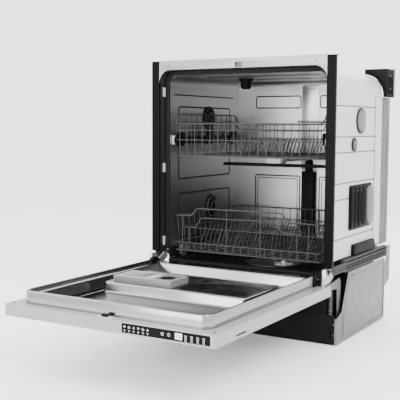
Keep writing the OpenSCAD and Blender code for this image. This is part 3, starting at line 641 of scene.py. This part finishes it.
def dispenser_shell():
    """The dispenser's housing, with a cup and a round well in its top."""
    x, y, top = DISPENSER_X, DISPENSER_Y, DISPENSER_TOP
    outer = rounded(x, y, 5, 5)
    cup = rounded((x[0] + 14, x[0] + 92), (y[0] + 16, y[1] - 16), 4, 5)
    well = rounded((x[1] - 59.5, x[1] - 16.5), (y[0] + 24.5, y[0] + 67.5), 21.4, 5)
    walls = (
        [(0, PLATEAU - 0.2), (0, DISPENSER_Z + 1.2), (0.7, DISPENSER_Z + 2.4), (2, top)],
        [(-0.6, top), (0, DISPENSER_Z + 2.2), (0, DISPENSER_Z - 18), (3, CUP_BOTTOM)],
        [(-0.6, top), (0, DISPENSER_Z + 2.2), (0, WELL_BOTTOM)],
    )
    body = Shape()
    for outline, wall in zip((outer, cup, well), walls):
        body.loft([level(inset(outline, d) if d else outline, z) for d, z in wall], True, False)
    body.face(level(inset(cup, 3), CUP_BOTTOM))
    body.face(level(well, WELL_BOTTOM))
    face_with_holes(body, inset(outer, 2), [inset(cup, -0.6), inset(well, -0.6)], top)
    body.stand("dispenser_shell", "dispenser", "dispenser_body", 40, False)


def dispenser_fittings():
    """The dispenser's light strip, flip lid and rinse-aid cap."""
    x, y, z = DISPENSER_X, DISPENSER_Y, DISPENSER_Z
    trim = Shape()
    trim.block((x[1] - 88, x[1] - 64), (y[0] + 20, y[1] - 20), (z + 2.8, z + 4.4), 3, 0.6)
    for k in range(4):
        near = y[0] + 30 + 9 * k
        trim.block((x[1] - 85, x[1] - 67), (near, near + 3), (z + 4.2, z + 5), 1, 0.3)
    trim.tube(rectangle("z", z + 3, (x[0] + 5, x[1] - 5), (y[0] + 5, y[1] - 5), 5, 4), 0.9, 6, True)
    trim.add("dispenser_trim", "light_plastic", "dispenser_body")
    lid = Shape()
    lid.block((x[0] + 15, x[0] + 91), (y[0] + 17, y[1] - 17.5), (z + 0.5, z + 3), 3, 0.8)
    lid.block((x[0] + 22, x[0] + 84), (y[0] + 22, y[0] + 34), (z + 2.8, z + 4.4), 5, 0.8)
    for k in range(3):
        near = y[0] + 44 + 7 * k
        lid.block((x[0] + 24, x[0] + 82), (near, near + 2), (z + 2.8, z + 3.6), 0.9, 0.3)
    lid.rod("x", (y[1] - 17.5, z + 1.8), x[0] + 15, x[0] + 91, 1.2, 8)
    lid.stand("flip_lid", "dispenser", "detergent_lid")
    cap = Shape()
    cx, cy = x[1] - 38, y[0] + 46
    cap.lathe("z", (cx, cy, 0), [(20.9, z - 8), (20.9, z + 1.4), (20, z + 2.4), (14, z + 2.5), (13, z + 1.2),
            (0.1, z + 1.2)], 40)
    cap.block((cx - 18, cx + 18), (cy - 2.4, cy + 2.4), (z + 1, z + 4), 2.3, 0.7)
    for point in circle((cx, cy), 20.6, 20):
        cap.bar((*point, z - 6), (*point, z + 1.2), 0.5, 5)
    cap.stand("rinse_cap", "black", "rinse_aid_cap")


def face_with_holes(shape, outer, holes, z):
    """A flat face with holes, filled as triangles between the outlines."""
    bm = bmesh.new()
    edges = []
    for outline in [outer] + holes:
        loop = [bm.verts.new((a, b, z)) for a, b in outline]
        edges += [bm.edges.new((loop[i - 1], loop[i])) for i in range(len(loop))]
    bmesh.ops.triangle_fill(bm, edges=edges, use_beauty=True)
    bm.verts.index_update()
    base = len(shape.verts)
    shape.verts += [tuple(v.co) for v in bm.verts]
    shape.faces += [tuple(base + v.index for v in f.verts) for f in bm.faces]
    bm.free()


def console_marks():
    """Plain symbols, a two-figure display and a key row."""
    marks = Shape()
    front = -644.95
    y = front + 0.2

    def ring(cx, cz, r, t=0.35):
        marks.tube([(a, y, b) for a, b in circle((cx, cz), r, 16)], t, 5, True)

    def dash(x0, z0, x1, z1, t=0.32):
        marks.bar((x0, y, z0), (x1, y, z1), t, 5)

    plate = [(-1.4, 0, 1.4, 0)]
    jets = [(x, -1.9, x, 1.9) for x in (-2.2, 0, 2.2)] + [(-2.8, -2.3, 2.8, -2.3)]
    glass = [(-2.2, -2.1, 0, 2.1), (0, 2.1, 2.2, -2.1), (-2.2, -2.1, 2.2, -2.1)]
    for k in range(6):
        cx = 63 + 12.5 * k
        if k % 3 == 0:
            ring(cx, 171.5, 2.2)
        for x0, z0, x1, z1 in (plate, jets, glass)[k % 3]:
            dash(cx + x0, 171.5 + z0, cx + x1, 171.5 + z1)
        dash(cx - 2.6, 163.6, cx + 2.6, 163.6, 0.45)
        ring(cx, 160.6, 0.5, 0.3)
    for k in range(2):
        cx = 164 + 17 * k
        ring(cx, 168, 3.2)
        dash(cx, 168, cx, 172.4)
    marks.block((197, 215), (front, -644.5), (161, 175), 1.2, 0.15, "y")
    for k in range(4):
        cx = 224 + 15 * k
        dash(cx - 3, 171.4, cx + 3, 171.4, 0.45)
        ring(cx, 166, 2.4)
        dash(cx - 3, 160.4, cx + 3, 160.4, 0.45)
    marks.add("console_marks", "icon", "control_glass")
    digits = Shape()
    lit = front - 0.02
    for cx in (202, 210):
        for dz in (5, 0, -5):
            digits.rod("x", (lit, 168 + dz), cx - 1.5, cx + 1.5, 0.32, 5)
        for dx, dz in ((-2, 2.5), (2, 2.5), (-2, -2.5), (2, -2.5)):
            digits.rod("z", (cx + dx, lit), 168 + dz - 1.9, 168 + dz + 1.9, 0.32, 5)
    digits.add("display_digits", "black", "control_glass")


# ---- tub

TUB_X = 262  # the tub's half width inside
WALL_COVERS = ((285, 646), (305, 349))
SPRAYER = (-118, 275)
DUCT_X, FEED_Z, ARM_Y = 18, 515, 256.5
FILTER = (42, 236.5)


def arch_path(w, top, r, z0, n=10):
    """An open section, up the right side, over the top and down the left side."""
    out = [(w, z0)]
    for cx, cz, start in ((w - r, top - r, 0), (-w + r, top - r, 90)):
        for k in range(n + 1):
            a = math.radians(start + 90 * k / n)
            out.append((cx + r * math.cos(a), cz + r * math.sin(a)))
    return out + [(-w, z0)]


def tub_beads():
    """Pressed lines in the tub's walls, in near-black steel as painted shadow lines, and the strip over the
    rear duct.
    """
    beads = Shape()
    for s in (-1, 1):
        x, out = s * TUB_X, (s, 0, 0)
        for z in ((679, 452), (404, 262)):
            beads.tube(rectangle("x", x, (96, 430), z, 9), 2.6, 8, True, 0.55, out)
        beads.tube([(x, 70, 716), (x, 452, 716)], 2.2, 8, False, 0.5, out)
    for y in (150, 330):
        beads.tube([(-190, y, 772), (190, y, 772)], 3.4, 8, False, 0.5, (0, 0, 1))
    # the side beads take near-black steel, painted shadow lines
    beads.add("side_beads", "crease", "tub_wrap")
    back = Shape()
    y, out = 487, (0, 1, 0)
    for x0, x1 in ((-187, -18), (54, 232)):
        for z in ((682, 722), (262, 449)):
            back.tube(rectangle("y", y, (x0, x1), z, 7), 2.2, 8, True, 0.6, out)
        back.tube(rectangle("y", y, (x0 + 9, x1 - 9), (271, 440), 7), 1.4, 8, True, 0.6, out)
    # the back beads take near-black steel, painted shadow lines
    back.add("back_beads", "crease", "tub_back")
    strip = Shape()
    strip.block((-13, 49), (485.6, 487.2), (470, 758), 8, 0.7, "y")
    strip.block((-4, 40), (484.9, 486), (480, 748), 6, 0.5, "y")
    strip.add("back_strip", "back_steel", "tub_back")


def wall_covers():
    """Two spoked covers on the left wall, each with two light rings that paint a highlight on its rims."""
    caps = Shape()
    profile = [(38, 0), (38, 2.6), (36, 4.6), (30, 5), (29, 3), (27, 3), (26, 8), (24, 9), (9, 9), (8, 6.5),
               (0.1, 6.5)]
    for centre in WALL_COVERS:
        caps.lathe("x", (-TUB_X, *centre), profile, 40)
        for near, far in zip(circle(centre, 10, 6), circle(centre, 24, 6)):
            caps.bar((-253.6, *near), (-253.6, *far), 1.2, 6)
    caps.stand("wall_covers", "black", "wall_caps", 40)
    # light grey rings on the black covers: a painted highlight on their rims
    rings = Shape()
    for centre in WALL_COVERS:
        for r, x in ((33, -256.9), (16.5, -252.9)):
            rings.tube([(x, *point) for point in circle(centre, r, 40)], 1.1, 6, True)
    rings.add("cover_highlight_rings", "cap_grey", "wall_caps")


def tub_fittings():
    """The ceiling sprayer, the rear duct and the tub floor's ribs."""
    spray = Shape()
    spray.lathe("z", (*SPRAYER, 0), [(24, 772), (24, 768), (22, 764.5), (17, 763), (16, 744), (13, 739),
            (9, 738), (8, 741), (0.1, 741)], 32)
    for low, high in zip(circle(SPRAYER, 16, 8), circle(SPRAYER, 17, 8)):
        spray.bar((*low, 742), (*high, 762), 1.1, 6)
    spray.stand("ceiling_jet", "black", "ceiling_sprayer", 40)
    duct = Shape()
    duct.block((-6, 42), (469, 486.9), (205.1, 468), 6, 2)
    duct.block((6, 30), (473, 486.9), (467, 515), 5, 1.5)
    spout = [(9, 486.9), (9, 466), (7.6, 463), (5.4, 463), (5.2, 470), (0.1, 470)]
    duct.lathe("y", (DUCT_X, 0, FEED_Z), spout, 28)
    for z in spaced(222, 452, 23):
        duct.block((-3, 39), (467.6, 470), (z - 1.2, z + 1.2), 1, 0.5)
    duct.stand("rear_riser", "duct", "rear_duct")
    soften(tub_floor=0.8)
    ribs = Shape()
    for s in (-1, 1):
        ribs.rod("y", (s * 240, TRACK), 50, 478, 0.9)
        for y in spaced(60, 470, 34):
            ribs.rod("x", (y, TRACK), s * 228, s * 238, 0.8)
    for r in (97, 104):
        ribs.tube(level(circle((0, ARM_Y), r, 48), 185.2), 1, 6, True)
    for x in (-190, -150, 150, 190):
        ribs.rod("y", (x, 185), 60, 450, 1.6)
    ribs.add("floor_ribs", "tub_base", "tub_floor")


def filters():
    """The round filter plate, and the ribbed cup that hangs in it."""
    plate = Shape()
    hole, hub, rim = circle(FILTER, 30.5, 40), circle((0, ARM_Y), 9, 24), circle((0, ARM_Y), 90, 72)
    faces = (183.2, 186.4)
    for z in faces:
        face_with_holes(plate, rim, [hole, hub], z)
    for outline in (rim, hole, hub):
        plate.loft([level(outline, z) for z in faces], True, False)
    plate.stand("filter_sheet", "filter_steel", "filter_plate", 40)
    cup = Shape()
    cup.lathe("z", (*FILTER, 0), [(28, 145.2), (28, 180), (29.8, 181), (29.8, 187), (28, 188), (25, 187.6),
            (24, 184), (0.1, 183)], 40)
    for point in circle(FILTER, 28.3, 24):
        cup.bar((*point, 147), (*point, 179), 0.8, 5)
    cx, cy = FILTER
    cup.block((cx - 7, cx + 7), (cy - 2, cy + 2), (183, 196), 1.9, 0.8)
    cup.stand("filter_cup", "light_plastic", "filter_cylinder", 40)


def frame_parts():
    """The front frame, its gasket, the rails and their clips."""
    soften(front_frame=0.5, side_trims=0.5, sill_seal=0.6, rail_guides=0.4, upper_rails=0.4)
    soften(1, tub_wrap=0.3, tub_back=0.3)
    gasket = Shape()
    w, top, r = 272.5, 786.5, 37.5
    lip = [(0, 40), (0, 36.5), (1.5, 34), (4, 33.2), (6, 34.2), (8, 33), (11, 32.1), (12.6, 33), (14, 35),
           (14.4, 38), (14.4, 40)]
    gasket.loft([[(a, y, b) for a, b in arch_path(w - d, top - d, r - d, 236.2)] for d, y in lip],
                False, False)
    gasket.stand("door_seal", "gasket", "door_gasket", 60)
    clips = Shape()
    for s in (-1, 1):
        for z in (262, 490, 722):
            clips.block(across(s, 269.4, 272.6), (22, 31.6), (z - 14, z + 14), 1.4, 0.5, "x")
        clips.block(across(s, 253.4, 261.8), (54, 66), (561, 589), 3, 1.2, "x")
    clips.add("liner_clips", "light_plastic", "rail_guides")
    screws = Shape()
    for s in (-1, 1):
        screw(screws, "y", (s * 240, 1.2, 801), 3.2, -1.0)
    screws.add("frame_screws", "zinc", "front_frame", 50)
    soften(latch_keeper=0.5)


# ---- shell, base and hinges

JACKET_X, JACKET_TOP, JACKET_R = 282.2, 784, 65
GROOVES = (298, 411, 457, 545, 590, 678)
VENT_NUT, RAIL_BOLT = (245, 637), (192, 567)


def jacket_section(inward):
    """The jacket's section, moved inwards; only the outer one has the grooves."""
    w, foot = JACKET_X, 241
    dent = ((0, -3), (2.2, -0.8), (2.2, 0.8), (0, 3))
    right = [(w - inward, foot)] + [(w - (inward or deep), z + up) for z in GROOVES for deep, up in dent]
    arc = arch_path(w - inward, JACKET_TOP - inward, JACKET_R - inward, foot, 14)[1:-1]
    return right + arc + [(-a, b) for a, b in reversed(right)]


def jacket():
    """The outer jacket, grooved along its sides and ribbed on top; dark rods in the grooves are painted
    shade.
    """
    w = JACKET_X
    outer, inner = jacket_section(0), jacket_section(2.4)
    edge = between(outer, inner, 0.5)
    sheet = Shape()
    sheet.loft([[(a, y, b) for a, b in outline] for y, outline in (
        (56.2, inner), (55, edge), (56.2, outer), (438.8, outer), (440, edge), (438.8, inner),
        (56.2, inner))], False, False)
    for s in (-1, 1):
        sheet.block(across(s, w - 0.2, w + 1.2), (378, 439), (243, 712), 4, 0.6, "x")
    sheet.stand("jacket_sheet", "jacket", "tub_jacket", 30)
    lines = Shape()
    # near-black rods inside the grooves: painted shadow in the grooves
    for s in (-1, 1):
        for z in GROOVES:
            lines.rod("y", (s * (w - 1.9), z), 57, 377, 1.0)
        lines.rod("z", (s * (w + 0.4), 377.4), 244, 712, 0.9)
    lines.add("groove_shadow_lines", "crease", "tub_jacket")
    ribs = Shape()
    for x in (-150, -50, 50, 150):
        ribs.tube([(x, 90, JACKET_TOP), (x, 410, JACKET_TOP)], 5, 10, False, 0.3, (0, 0, 1))
    ribs.add("jacket_ribs", "jacket", "tub_jacket")


def side_fittings():
    """The two round caps and the ribbed breather on the right side."""
    w = JACKET_X
    caps = Shape()
    nut = [(38, -0.5), (38, 2), (37, 3.6), (34.5, 4), (33.5, 2.4), (32, 2.4), (31, 6), (29.5, 7), (0.1, 7)]
    caps.lathe("x", (w, *VENT_NUT), nut, 48)
    bolt = [(20, -0.5), (20, 2), (19, 3), (15, 3), (14.5, 1.6), (11.5, 1.6), (11, 6.4), (9.6, 7), (5, 7),
            (4.6, 5), (0.1, 5)]
    caps.lathe("x", (w, *RAIL_BOLT), bolt, 40)
    caps.stand("side_discs", "cap_grey", "jacket_caps", 40)
    rims = Shape()
    for centre, r in ((VENT_NUT, 36.4), (RAIL_BOLT, 18.4)):
        rims.tube([(w + 2.6, *point) for point in circle(centre, r, 48)], 2.0, 8, True)
    rims.add("disc_rims", "black", "jacket_caps")
    box = Shape()
    box.block((w, w + 3.8), (160, 348), (316, 448), 8, 1, "x")
    for k, (y0, y1) in enumerate(((164, 188), (192, 218), (222, 250), (254, 284))):
        box.block((w + 3, w + 8.5 + 1.2 * k), (y0, y1), (322 + k, 442 - k), 12, 3, "x")
    for y in (176, 205, 236, 269):
        box.rod("z", (w + 12, y), 336, 428, 1.3)
    box.stand("air_break", "duct", "breather")
    slab = Shape()
    slab.block((w + 3.5, w + 14.2), (288, 348), (324, 440), 26, 3.2, "x")
    slab.block((w + 13.6, w + 14.7), (297, 339), (336, 428), 18, 0.5, "x")
    slab.add("air_break_slab", "cap_grey", "breather")


def rear_parts():
    """The rear straps and corner brackets, their rivets, and the felt."""
    soften(3, cable_cover=2.2)
    soften(rear_straps=0.4, corner_brackets=1.0)
    soften(1, insulation=0.4)
    rivets = Shape()
    for s in (-1, 1):
        for z in (269, 421, 574):
            for y in (460, 482):
                screw(rivets, "x", (s * 283.2, y, z), 3.6, s * 1.4)
        for z in (740, 780):
            screw(rivets, "x", (s * 297.6, 470, z), 3.0, s * 1.0)
    rivets.add("strap_rivets", "zinc", "rear_straps", 50)
    arcs = Shape()
    r = 67
    cx, cz = 284.2 - r, 786 - r
    sweep = [math.radians(12 + 66 * k / 12) for k in range(13)]
    for s in (-1, 1):
        for grow in (5, 10):
            arcs.tube([(s * (cx + (r + grow) * math.cos(a)), 440.5, cz + (r + grow) * math.sin(a))
                       for a in sweep], 1.5, 6)
    arcs.add("bracket_arcs", "black", "corner_brackets")


FEET = (("foot_front_left", -274, 90), ("foot_front_right", 274, 90),
        ("foot_rear_left", -274, 438), ("foot_rear_right", 274, 438))


def base_and_feet():
    """The base with its folds and screws, the machinery, and the threaded feet."""
    soften(base_tray=0.6, base_sides=0.5, toe_kick=0.6, base_rails=0.7, sump=0.8)
    soften(3, drain_pump=1.2, circulation_pump=1.4, inlet_valve=1.2)
    folds = Shape()
    for s in (-1, 1):
        x = s * 297.2
        folds.rod("z", (x, 87), 12, 90, 1.3)
        outline = [(x, 102, 14), (x, 452, 14), (x, 452, 184), (x, 140, 184), (x, 100, 88)]
        folds.tube(bend(outline, 10, 5, True), 1.5, 6, True)
    folds.add("side_folds", "zinc", "base_sides")
    screws = Shape()
    for s in (-1, 1):
        for y in (163, 436):
            screw(screws, "x", (s * 297, y + 6, 190), 3.4, s * 1.2)
        for z in (30, 60):
            screw(screws, "y", (s * 288, 48.2, z), 3.2, -1.2)
    screws.add("base_screws", "zinc_dark", "base_sides", 50)
    for node, x, y in FEET:
        foot = Shape()
        foot.lathe("z", (x, y, 0), [(15.5, 0), (17, 1), (17, 3.6), (16, 5), (9.6, 5.2), (0.1, 5.2)], 32)
        foot.prism("z", circle((x, y), 9, 6), 4.8, 9.5, 0.7)
        thread = [(4.2, 9)]
        for k in range(33):
            thread += [(4.9, 9.6 + 2 * k), (4.2, 10.6 + 2 * k)]
        foot.lathe("z", (x, y, 0), thread + [(3.4, 75)], 24)
        foot.stand("levelling_" + node, "black", node, 60)


def hinges():
    """The hinge brackets and the two hooked coil springs."""
    soften(hinge_brackets=0.5)
    coils = Shape()
    turns, steps, low, high, r = 26, 14, 54, 178, 5.9
    sweep = [2 * math.pi * k / steps for k in range(steps * turns + 1)]
    for s in (-1, 1):
        x, y = s * 271, 62
        coils.tube([(x + r * math.cos(a), y + r * math.sin(a), low + (high - low) * a / (2 * math.pi * turns))
                    for a in sweep], 1.15, 6)
        coils.tube(bend([(x, y, 14), (x, y, 50), (x + r, y, low)], 3), 1.3, 6)
    springs = coils.object("coil_springs", "spring", 60)
    stands_for(springs, "balance_springs")
    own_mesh(springs)


# ---- racks and spray arms

MAIN, THIN = 2.0, 1.35  # wire radii
RACK_X, RACK_Y = 243, (49.5, 463.5)
FRONT, BACK = RACK_Y
UPPER_FLOOR, UPPER_FRONT, UPPER_SIDE = 528, 626, 655
LOWER_FLOOR, LOWER_TOP = 232.6, 339
PITCH = 27
TINES_Y = (68, 445)
AXLE_Y, AXLE_Z = (110, 403), 225.3


def frame_loop(rack, front, side, back, r, y0=FRONT):
    """A closed wire round the basket, with its heights at each side."""
    w, y1 = RACK_X, BACK
    rack.tube(bend([(-w, y0, front), (w, y0, front), (w, y0 + 34, side), (w, y1 - 30, side), (w, y1, back),
            (-w, y1, back), (-w, y1 - 30, side), (-w, y0 + 34, side)], 9, 3, True), r, 8, True)


def long_wires(rack, front, knee, floor, back):
    """Thin wires down the front, along the floor and up the back."""
    for x in spaced(-RACK_X + 14, RACK_X - 14, PITCH):
        rack.tube(bend([(x, FRONT, front), (x, FRONT, knee), (x, FRONT + 9, floor), (x, BACK - 9, floor),
            (x, BACK, knee), (x, BACK, back)], 7, 3), THIN, 6)


def cross_wires(rack, top, knee, floor, lean=0):
    """Thin wires from side to side, whose upper ends lean forward."""
    w = RACK_X
    for y in spaced(FRONT + 26, BACK - 26, 33):
        rack.tube(bend([(-w, y - lean, top), (-w, y, knee), (-w + 10, y, floor), (w - 10, y, floor),
            (w, y, knee), (w, y - lean, top)], 7, 3), THIN, 6)


def tine_tip(rack, x, y, z):
    rack.lathe("z", (x, y, z), [(THIN + 0.25, 0), (THIN + 0.2, 0.9), (0.1, 1.5)], 8)


def tine_row(rack, x, z, h, lean):
    """A bar along the rack with tines that lean to one side."""
    rack.rod("y", (x, z), TINES_Y[0], TINES_Y[1], THIN + 0.3, 8)
    for y in spaced(TINES_Y[0] + 8, TINES_Y[1] - 8, PITCH):
        top = (x + lean, y + 2.5, z + h)
        rack.tube(bend([(x, y, z), (x + lean * 0.15, y, z + h * 0.3), top], 5, 2), THIN, 6)
        tine_tip(rack, top[0], top[1], top[2] - 0.6)


def upper_basket():
    """The upper rack with its carriers, cup shelf and feed pipe."""
    rack = Shape()
    z = UPPER_FLOOR
    frame_loop(rack, z, z, z, MAIN)
    frame_loop(rack, 576, 576, 576, THIN + 0.2)
    frame_loop(rack, 606, 630, 606, THIN + 0.3)
    frame_loop(rack, UPPER_FRONT, UPPER_SIDE, UPPER_FRONT, MAIN)
    long_wires(rack, UPPER_FRONT, z + 2, z - 1.6, UPPER_FRONT)
    cross_wires(rack, UPPER_SIDE, z + 3, z + 0.8)
    for x in (-150, -90, -30, 30, 90):
        tine_row(rack, x, z + 3.4, 51, 13)
    rack.stand("upper_wires", "wire_grey", "upper_rack", 60)
    blocks = Shape()
    for s in (-1, 1):
        outside, inside = across(s, 245.4, 249.3), across(s, 236.6, 241)
        blocks.block(outside, (58, 104), (556, 596), 7, 1.4, "x")
        blocks.block(outside, (104, 400), (566, 584), 4, 1.2, "x")
        blocks.block(outside, (400, 444), (556, 596), 7, 1.4, "x")
        blocks.block(inside, (62, 98), (566, 600), 6, 1.4, "x")
        blocks.block(across(s, 233, 241), (225, 275), (560, 612), 9, 2, "x")
        blocks.block(inside, (400, 440), (566, 600), 6, 1.4, "x")
    blocks.add("rack_carriers", "black", "upper_rack")
    shelf = Shape()
    x, z = 238, 632
    for dx in (0, 28, 56, 84):
        shelf.rod("y", (x - dx, z), 78, 405, MAIN if dx in (0, 84) else THIN, 8)
    for y in spaced(80, 403, 21):
        shelf.tube(bend([(x, y, z), (x - 76, y, z), (x - 84, y, z + 6)], 4, 2), THIN, 6)
    for y in (76, 400):
        shelf.lathe("y", (x, 0, z), [(2.2, y - 2), (3.4, y), (3.4, y + 6), (2.2, y + 8)], 16)
    shelf.stand("cup_rest_wires", "wire_grey", "cup_shelf", 60)
    feed = Shape()
    feed.lathe("y", (DUCT_X, 0, FEED_Z), [(8.9, 250), (8.9, 454), (10.6, 456), (10.6, 461.5), (7, 461.9),
            (6.4, 458), (0.1, 458)], 28)
    feed.block((-26, 30), (232.6, 280.4), (502.5, 518.8), 10, 2)
    feed.lathe("z", (0, ARM_Y, 0), [(20, 502.4), (20, 506), (24, 507), (24, 509), (0.1, 509)], 32)
    feed.stand("feed_tube", "light_plastic", "upper_feed_pipe")


def lower_basket():
    """The lower rack with its dipped front rim, and the wheel carriers."""
    rack = Shape()
    w, f, z, top = RACK_X, FRONT, LOWER_FLOOR, LOWER_TOP
    frame_loop(rack, z + 1, z + 1, z + 1, MAIN)
    frame_loop(rack, 258, 258, 258, THIN + 0.3)
    dip = [(-w, f, 341), (-183, f, 343), (-168, f, 366), (122, f, 368), (140, f, 342), (w, f, 341)]
    back = [(w, f + 34, top), (w, BACK, top), (-w, BACK, top), (-w, f + 34, top)]
    rack.tube(bend(dip + back, 9, 3, True), MAIN, 8, True)
    second = ((-196, z + 2), (-196, 306), (-172, 307), (-153, 337), (96, 341), (119, 311), (168, 310),
              (168, z + 2))
    rack.tube(bend([(a, f + 4, b) for a, b in second], 8, 3), MAIN * 0.9, 8)
    for x, high in ((-219, 342), (-62, 367), (51, 367), (205, 341)):
        rack.rod("z", (x, f + 2), z, high, THIN + 0.2)
    long_wires(rack, 258, z + 3, z - 0.4, top)
    cross_wires(rack, top, z + 4, z + 1.6, 14)
    frame_loop(rack, 300, 300, 300, THIN, f + 40)
    for x in (-170, -110, -50, 10, 130, 190):
        tine_row(rack, x, z + 3.4, 73, 20)
    rack.stand("lower_wires", "wire_grey", "lower_rack", 60)
    axles = Shape()
    for s in (-1, 1):
        for y in AXLE_Y:
            axles.block(across(s, 241, 246.2), (y - 7, y + 7), (219, 236), 5, 1, "x")
            axles.rod("x", (y, AXLE_Z), s * 243, s * 256.3, 3.9, 16)
    axles.add("wheel_carriers", "wheel", "lower_rack")


def folding_row():
    fold = Shape()
    x, z = 70, 236.4
    fold.rod("y", (x, z), 62, 451, MAIN - 0.2, 8)
    for y in spaced(89.9, 423.1, PITCH):
        fold.tube(bend([(x, y, z), (x + 1, y, 260), (x + 6, y, 310)], 5, 2), THIN, 6)
        tine_tip(fold, x + 6, y, 309.2)
    for y in (62, 443):
        fold.lathe("y", (x, 0, z), [(2.2, y), (2.2, y + 8)], 16)
    fold.stand("folding_row", "wire_grey", "folding_tines", 60)


def rack_wheels():
    """The lower rack's four wheels: a rim and a hub, open between six spokes."""
    half = [(4.3, 0.2), (7, 0), (7, 2), (13.5, 2.6), (14.5, 0.6), (18.6, 0), (19.9, 1.2), (20, 6.6),
            (18.8, 8), (14.5, 7.4), (13.5, 5.4), (7, 6), (7, 8), (4.3, 7.8)]
    for node, s, y in (("wheel_fl", -1, AXLE_Y[0]), ("wheel_fr", 1, AXLE_Y[0]),
            ("wheel_rl", -1, AXLE_Y[1]), ("wheel_rr", 1, AXLE_Y[1])):
        wheel = Shape()
        x, centre = s * 248.4, (y, AXLE_Z)
        wheel.lathe("x", (x, *centre), [(r, s * h) for r, h in half + half[:1]], 36)
        wheel.faces = [f for f in wheel.faces if len(f) == 4]  # drops the two end caps
        for near, far in zip(circle(centre, 6.5, 6), circle(centre, 14.5, 6)):
            wheel.bar((x + s * 4, *near), (x + s * 4, *far), 1.9, 6)
        wheel.stand("roller_" + node, "wheel", node, 40)


def spray_arm(node, z, reach, w):
    """Two tapered blades round a hub, with a raised channel and nozzles."""
    arm = Shape()
    tip, root, hub = w / 3, w / 2.1, w / 2
    blade = [(-reach, -tip), (-reach, tip), (-60, root), (0, hub), (60, root), (reach, tip), (reach, -tip),
             (60, -root), (0, -hub), (-60, -root)]
    arm.prism("z", [(a, b + ARM_Y) for a, b in round_corners(blade, 9)], z + 0.2, z + 9, 3.0)
    arm.lathe("z", (0, ARM_Y, 0), [(22, z), (22, z + 8), (20, z + 10), (8, z + 10), (7, z + 8.6),
            (0.1, z + 8.6)], 36)
    for s in (-1, 1):
        channel = [(s * 26, ARM_Y, z + 8.6), (s * (reach - 16), ARM_Y, z + 8.6)]
        arm.tube(channel, 5.5, 10, False, 0.28, (0, 0, 1))
        for k in (0.35, 0.5, 0.65, 0.8, 0.93):
            x, y = s * k * reach, ARM_Y + s * (k - 0.6) * 14
            arm.lathe("z", (x, y, 0), [(4.6, z + 8.4), (3.4, z + 9.7), (1.8, z + 9.9), (1.4, z + 8.8),
            (0.1, z + 8.8)], 16)
    arm.stand("blade_" + node, "duct", node, 40)


def main():
    make_camera()
    make_studio()
    paint_nodes()
    door_pan()
    pan_beads()
    door_parts()
    dispenser_shell()
    dispenser_fittings()
    console_marks()
    frame_parts()
    tub_beads()
    wall_covers()
    tub_fittings()
    filters()
    jacket()
    side_fittings()
    rear_parts()
    base_and_feet()
    hinges()
    upper_basket()
    lower_basket()
    folding_row()
    rack_wheels()
    spray_arm("upper_spray_arm", 492, 185, 44)
    spray_arm("lower_spray_arm", 207, 205, 52)


main()
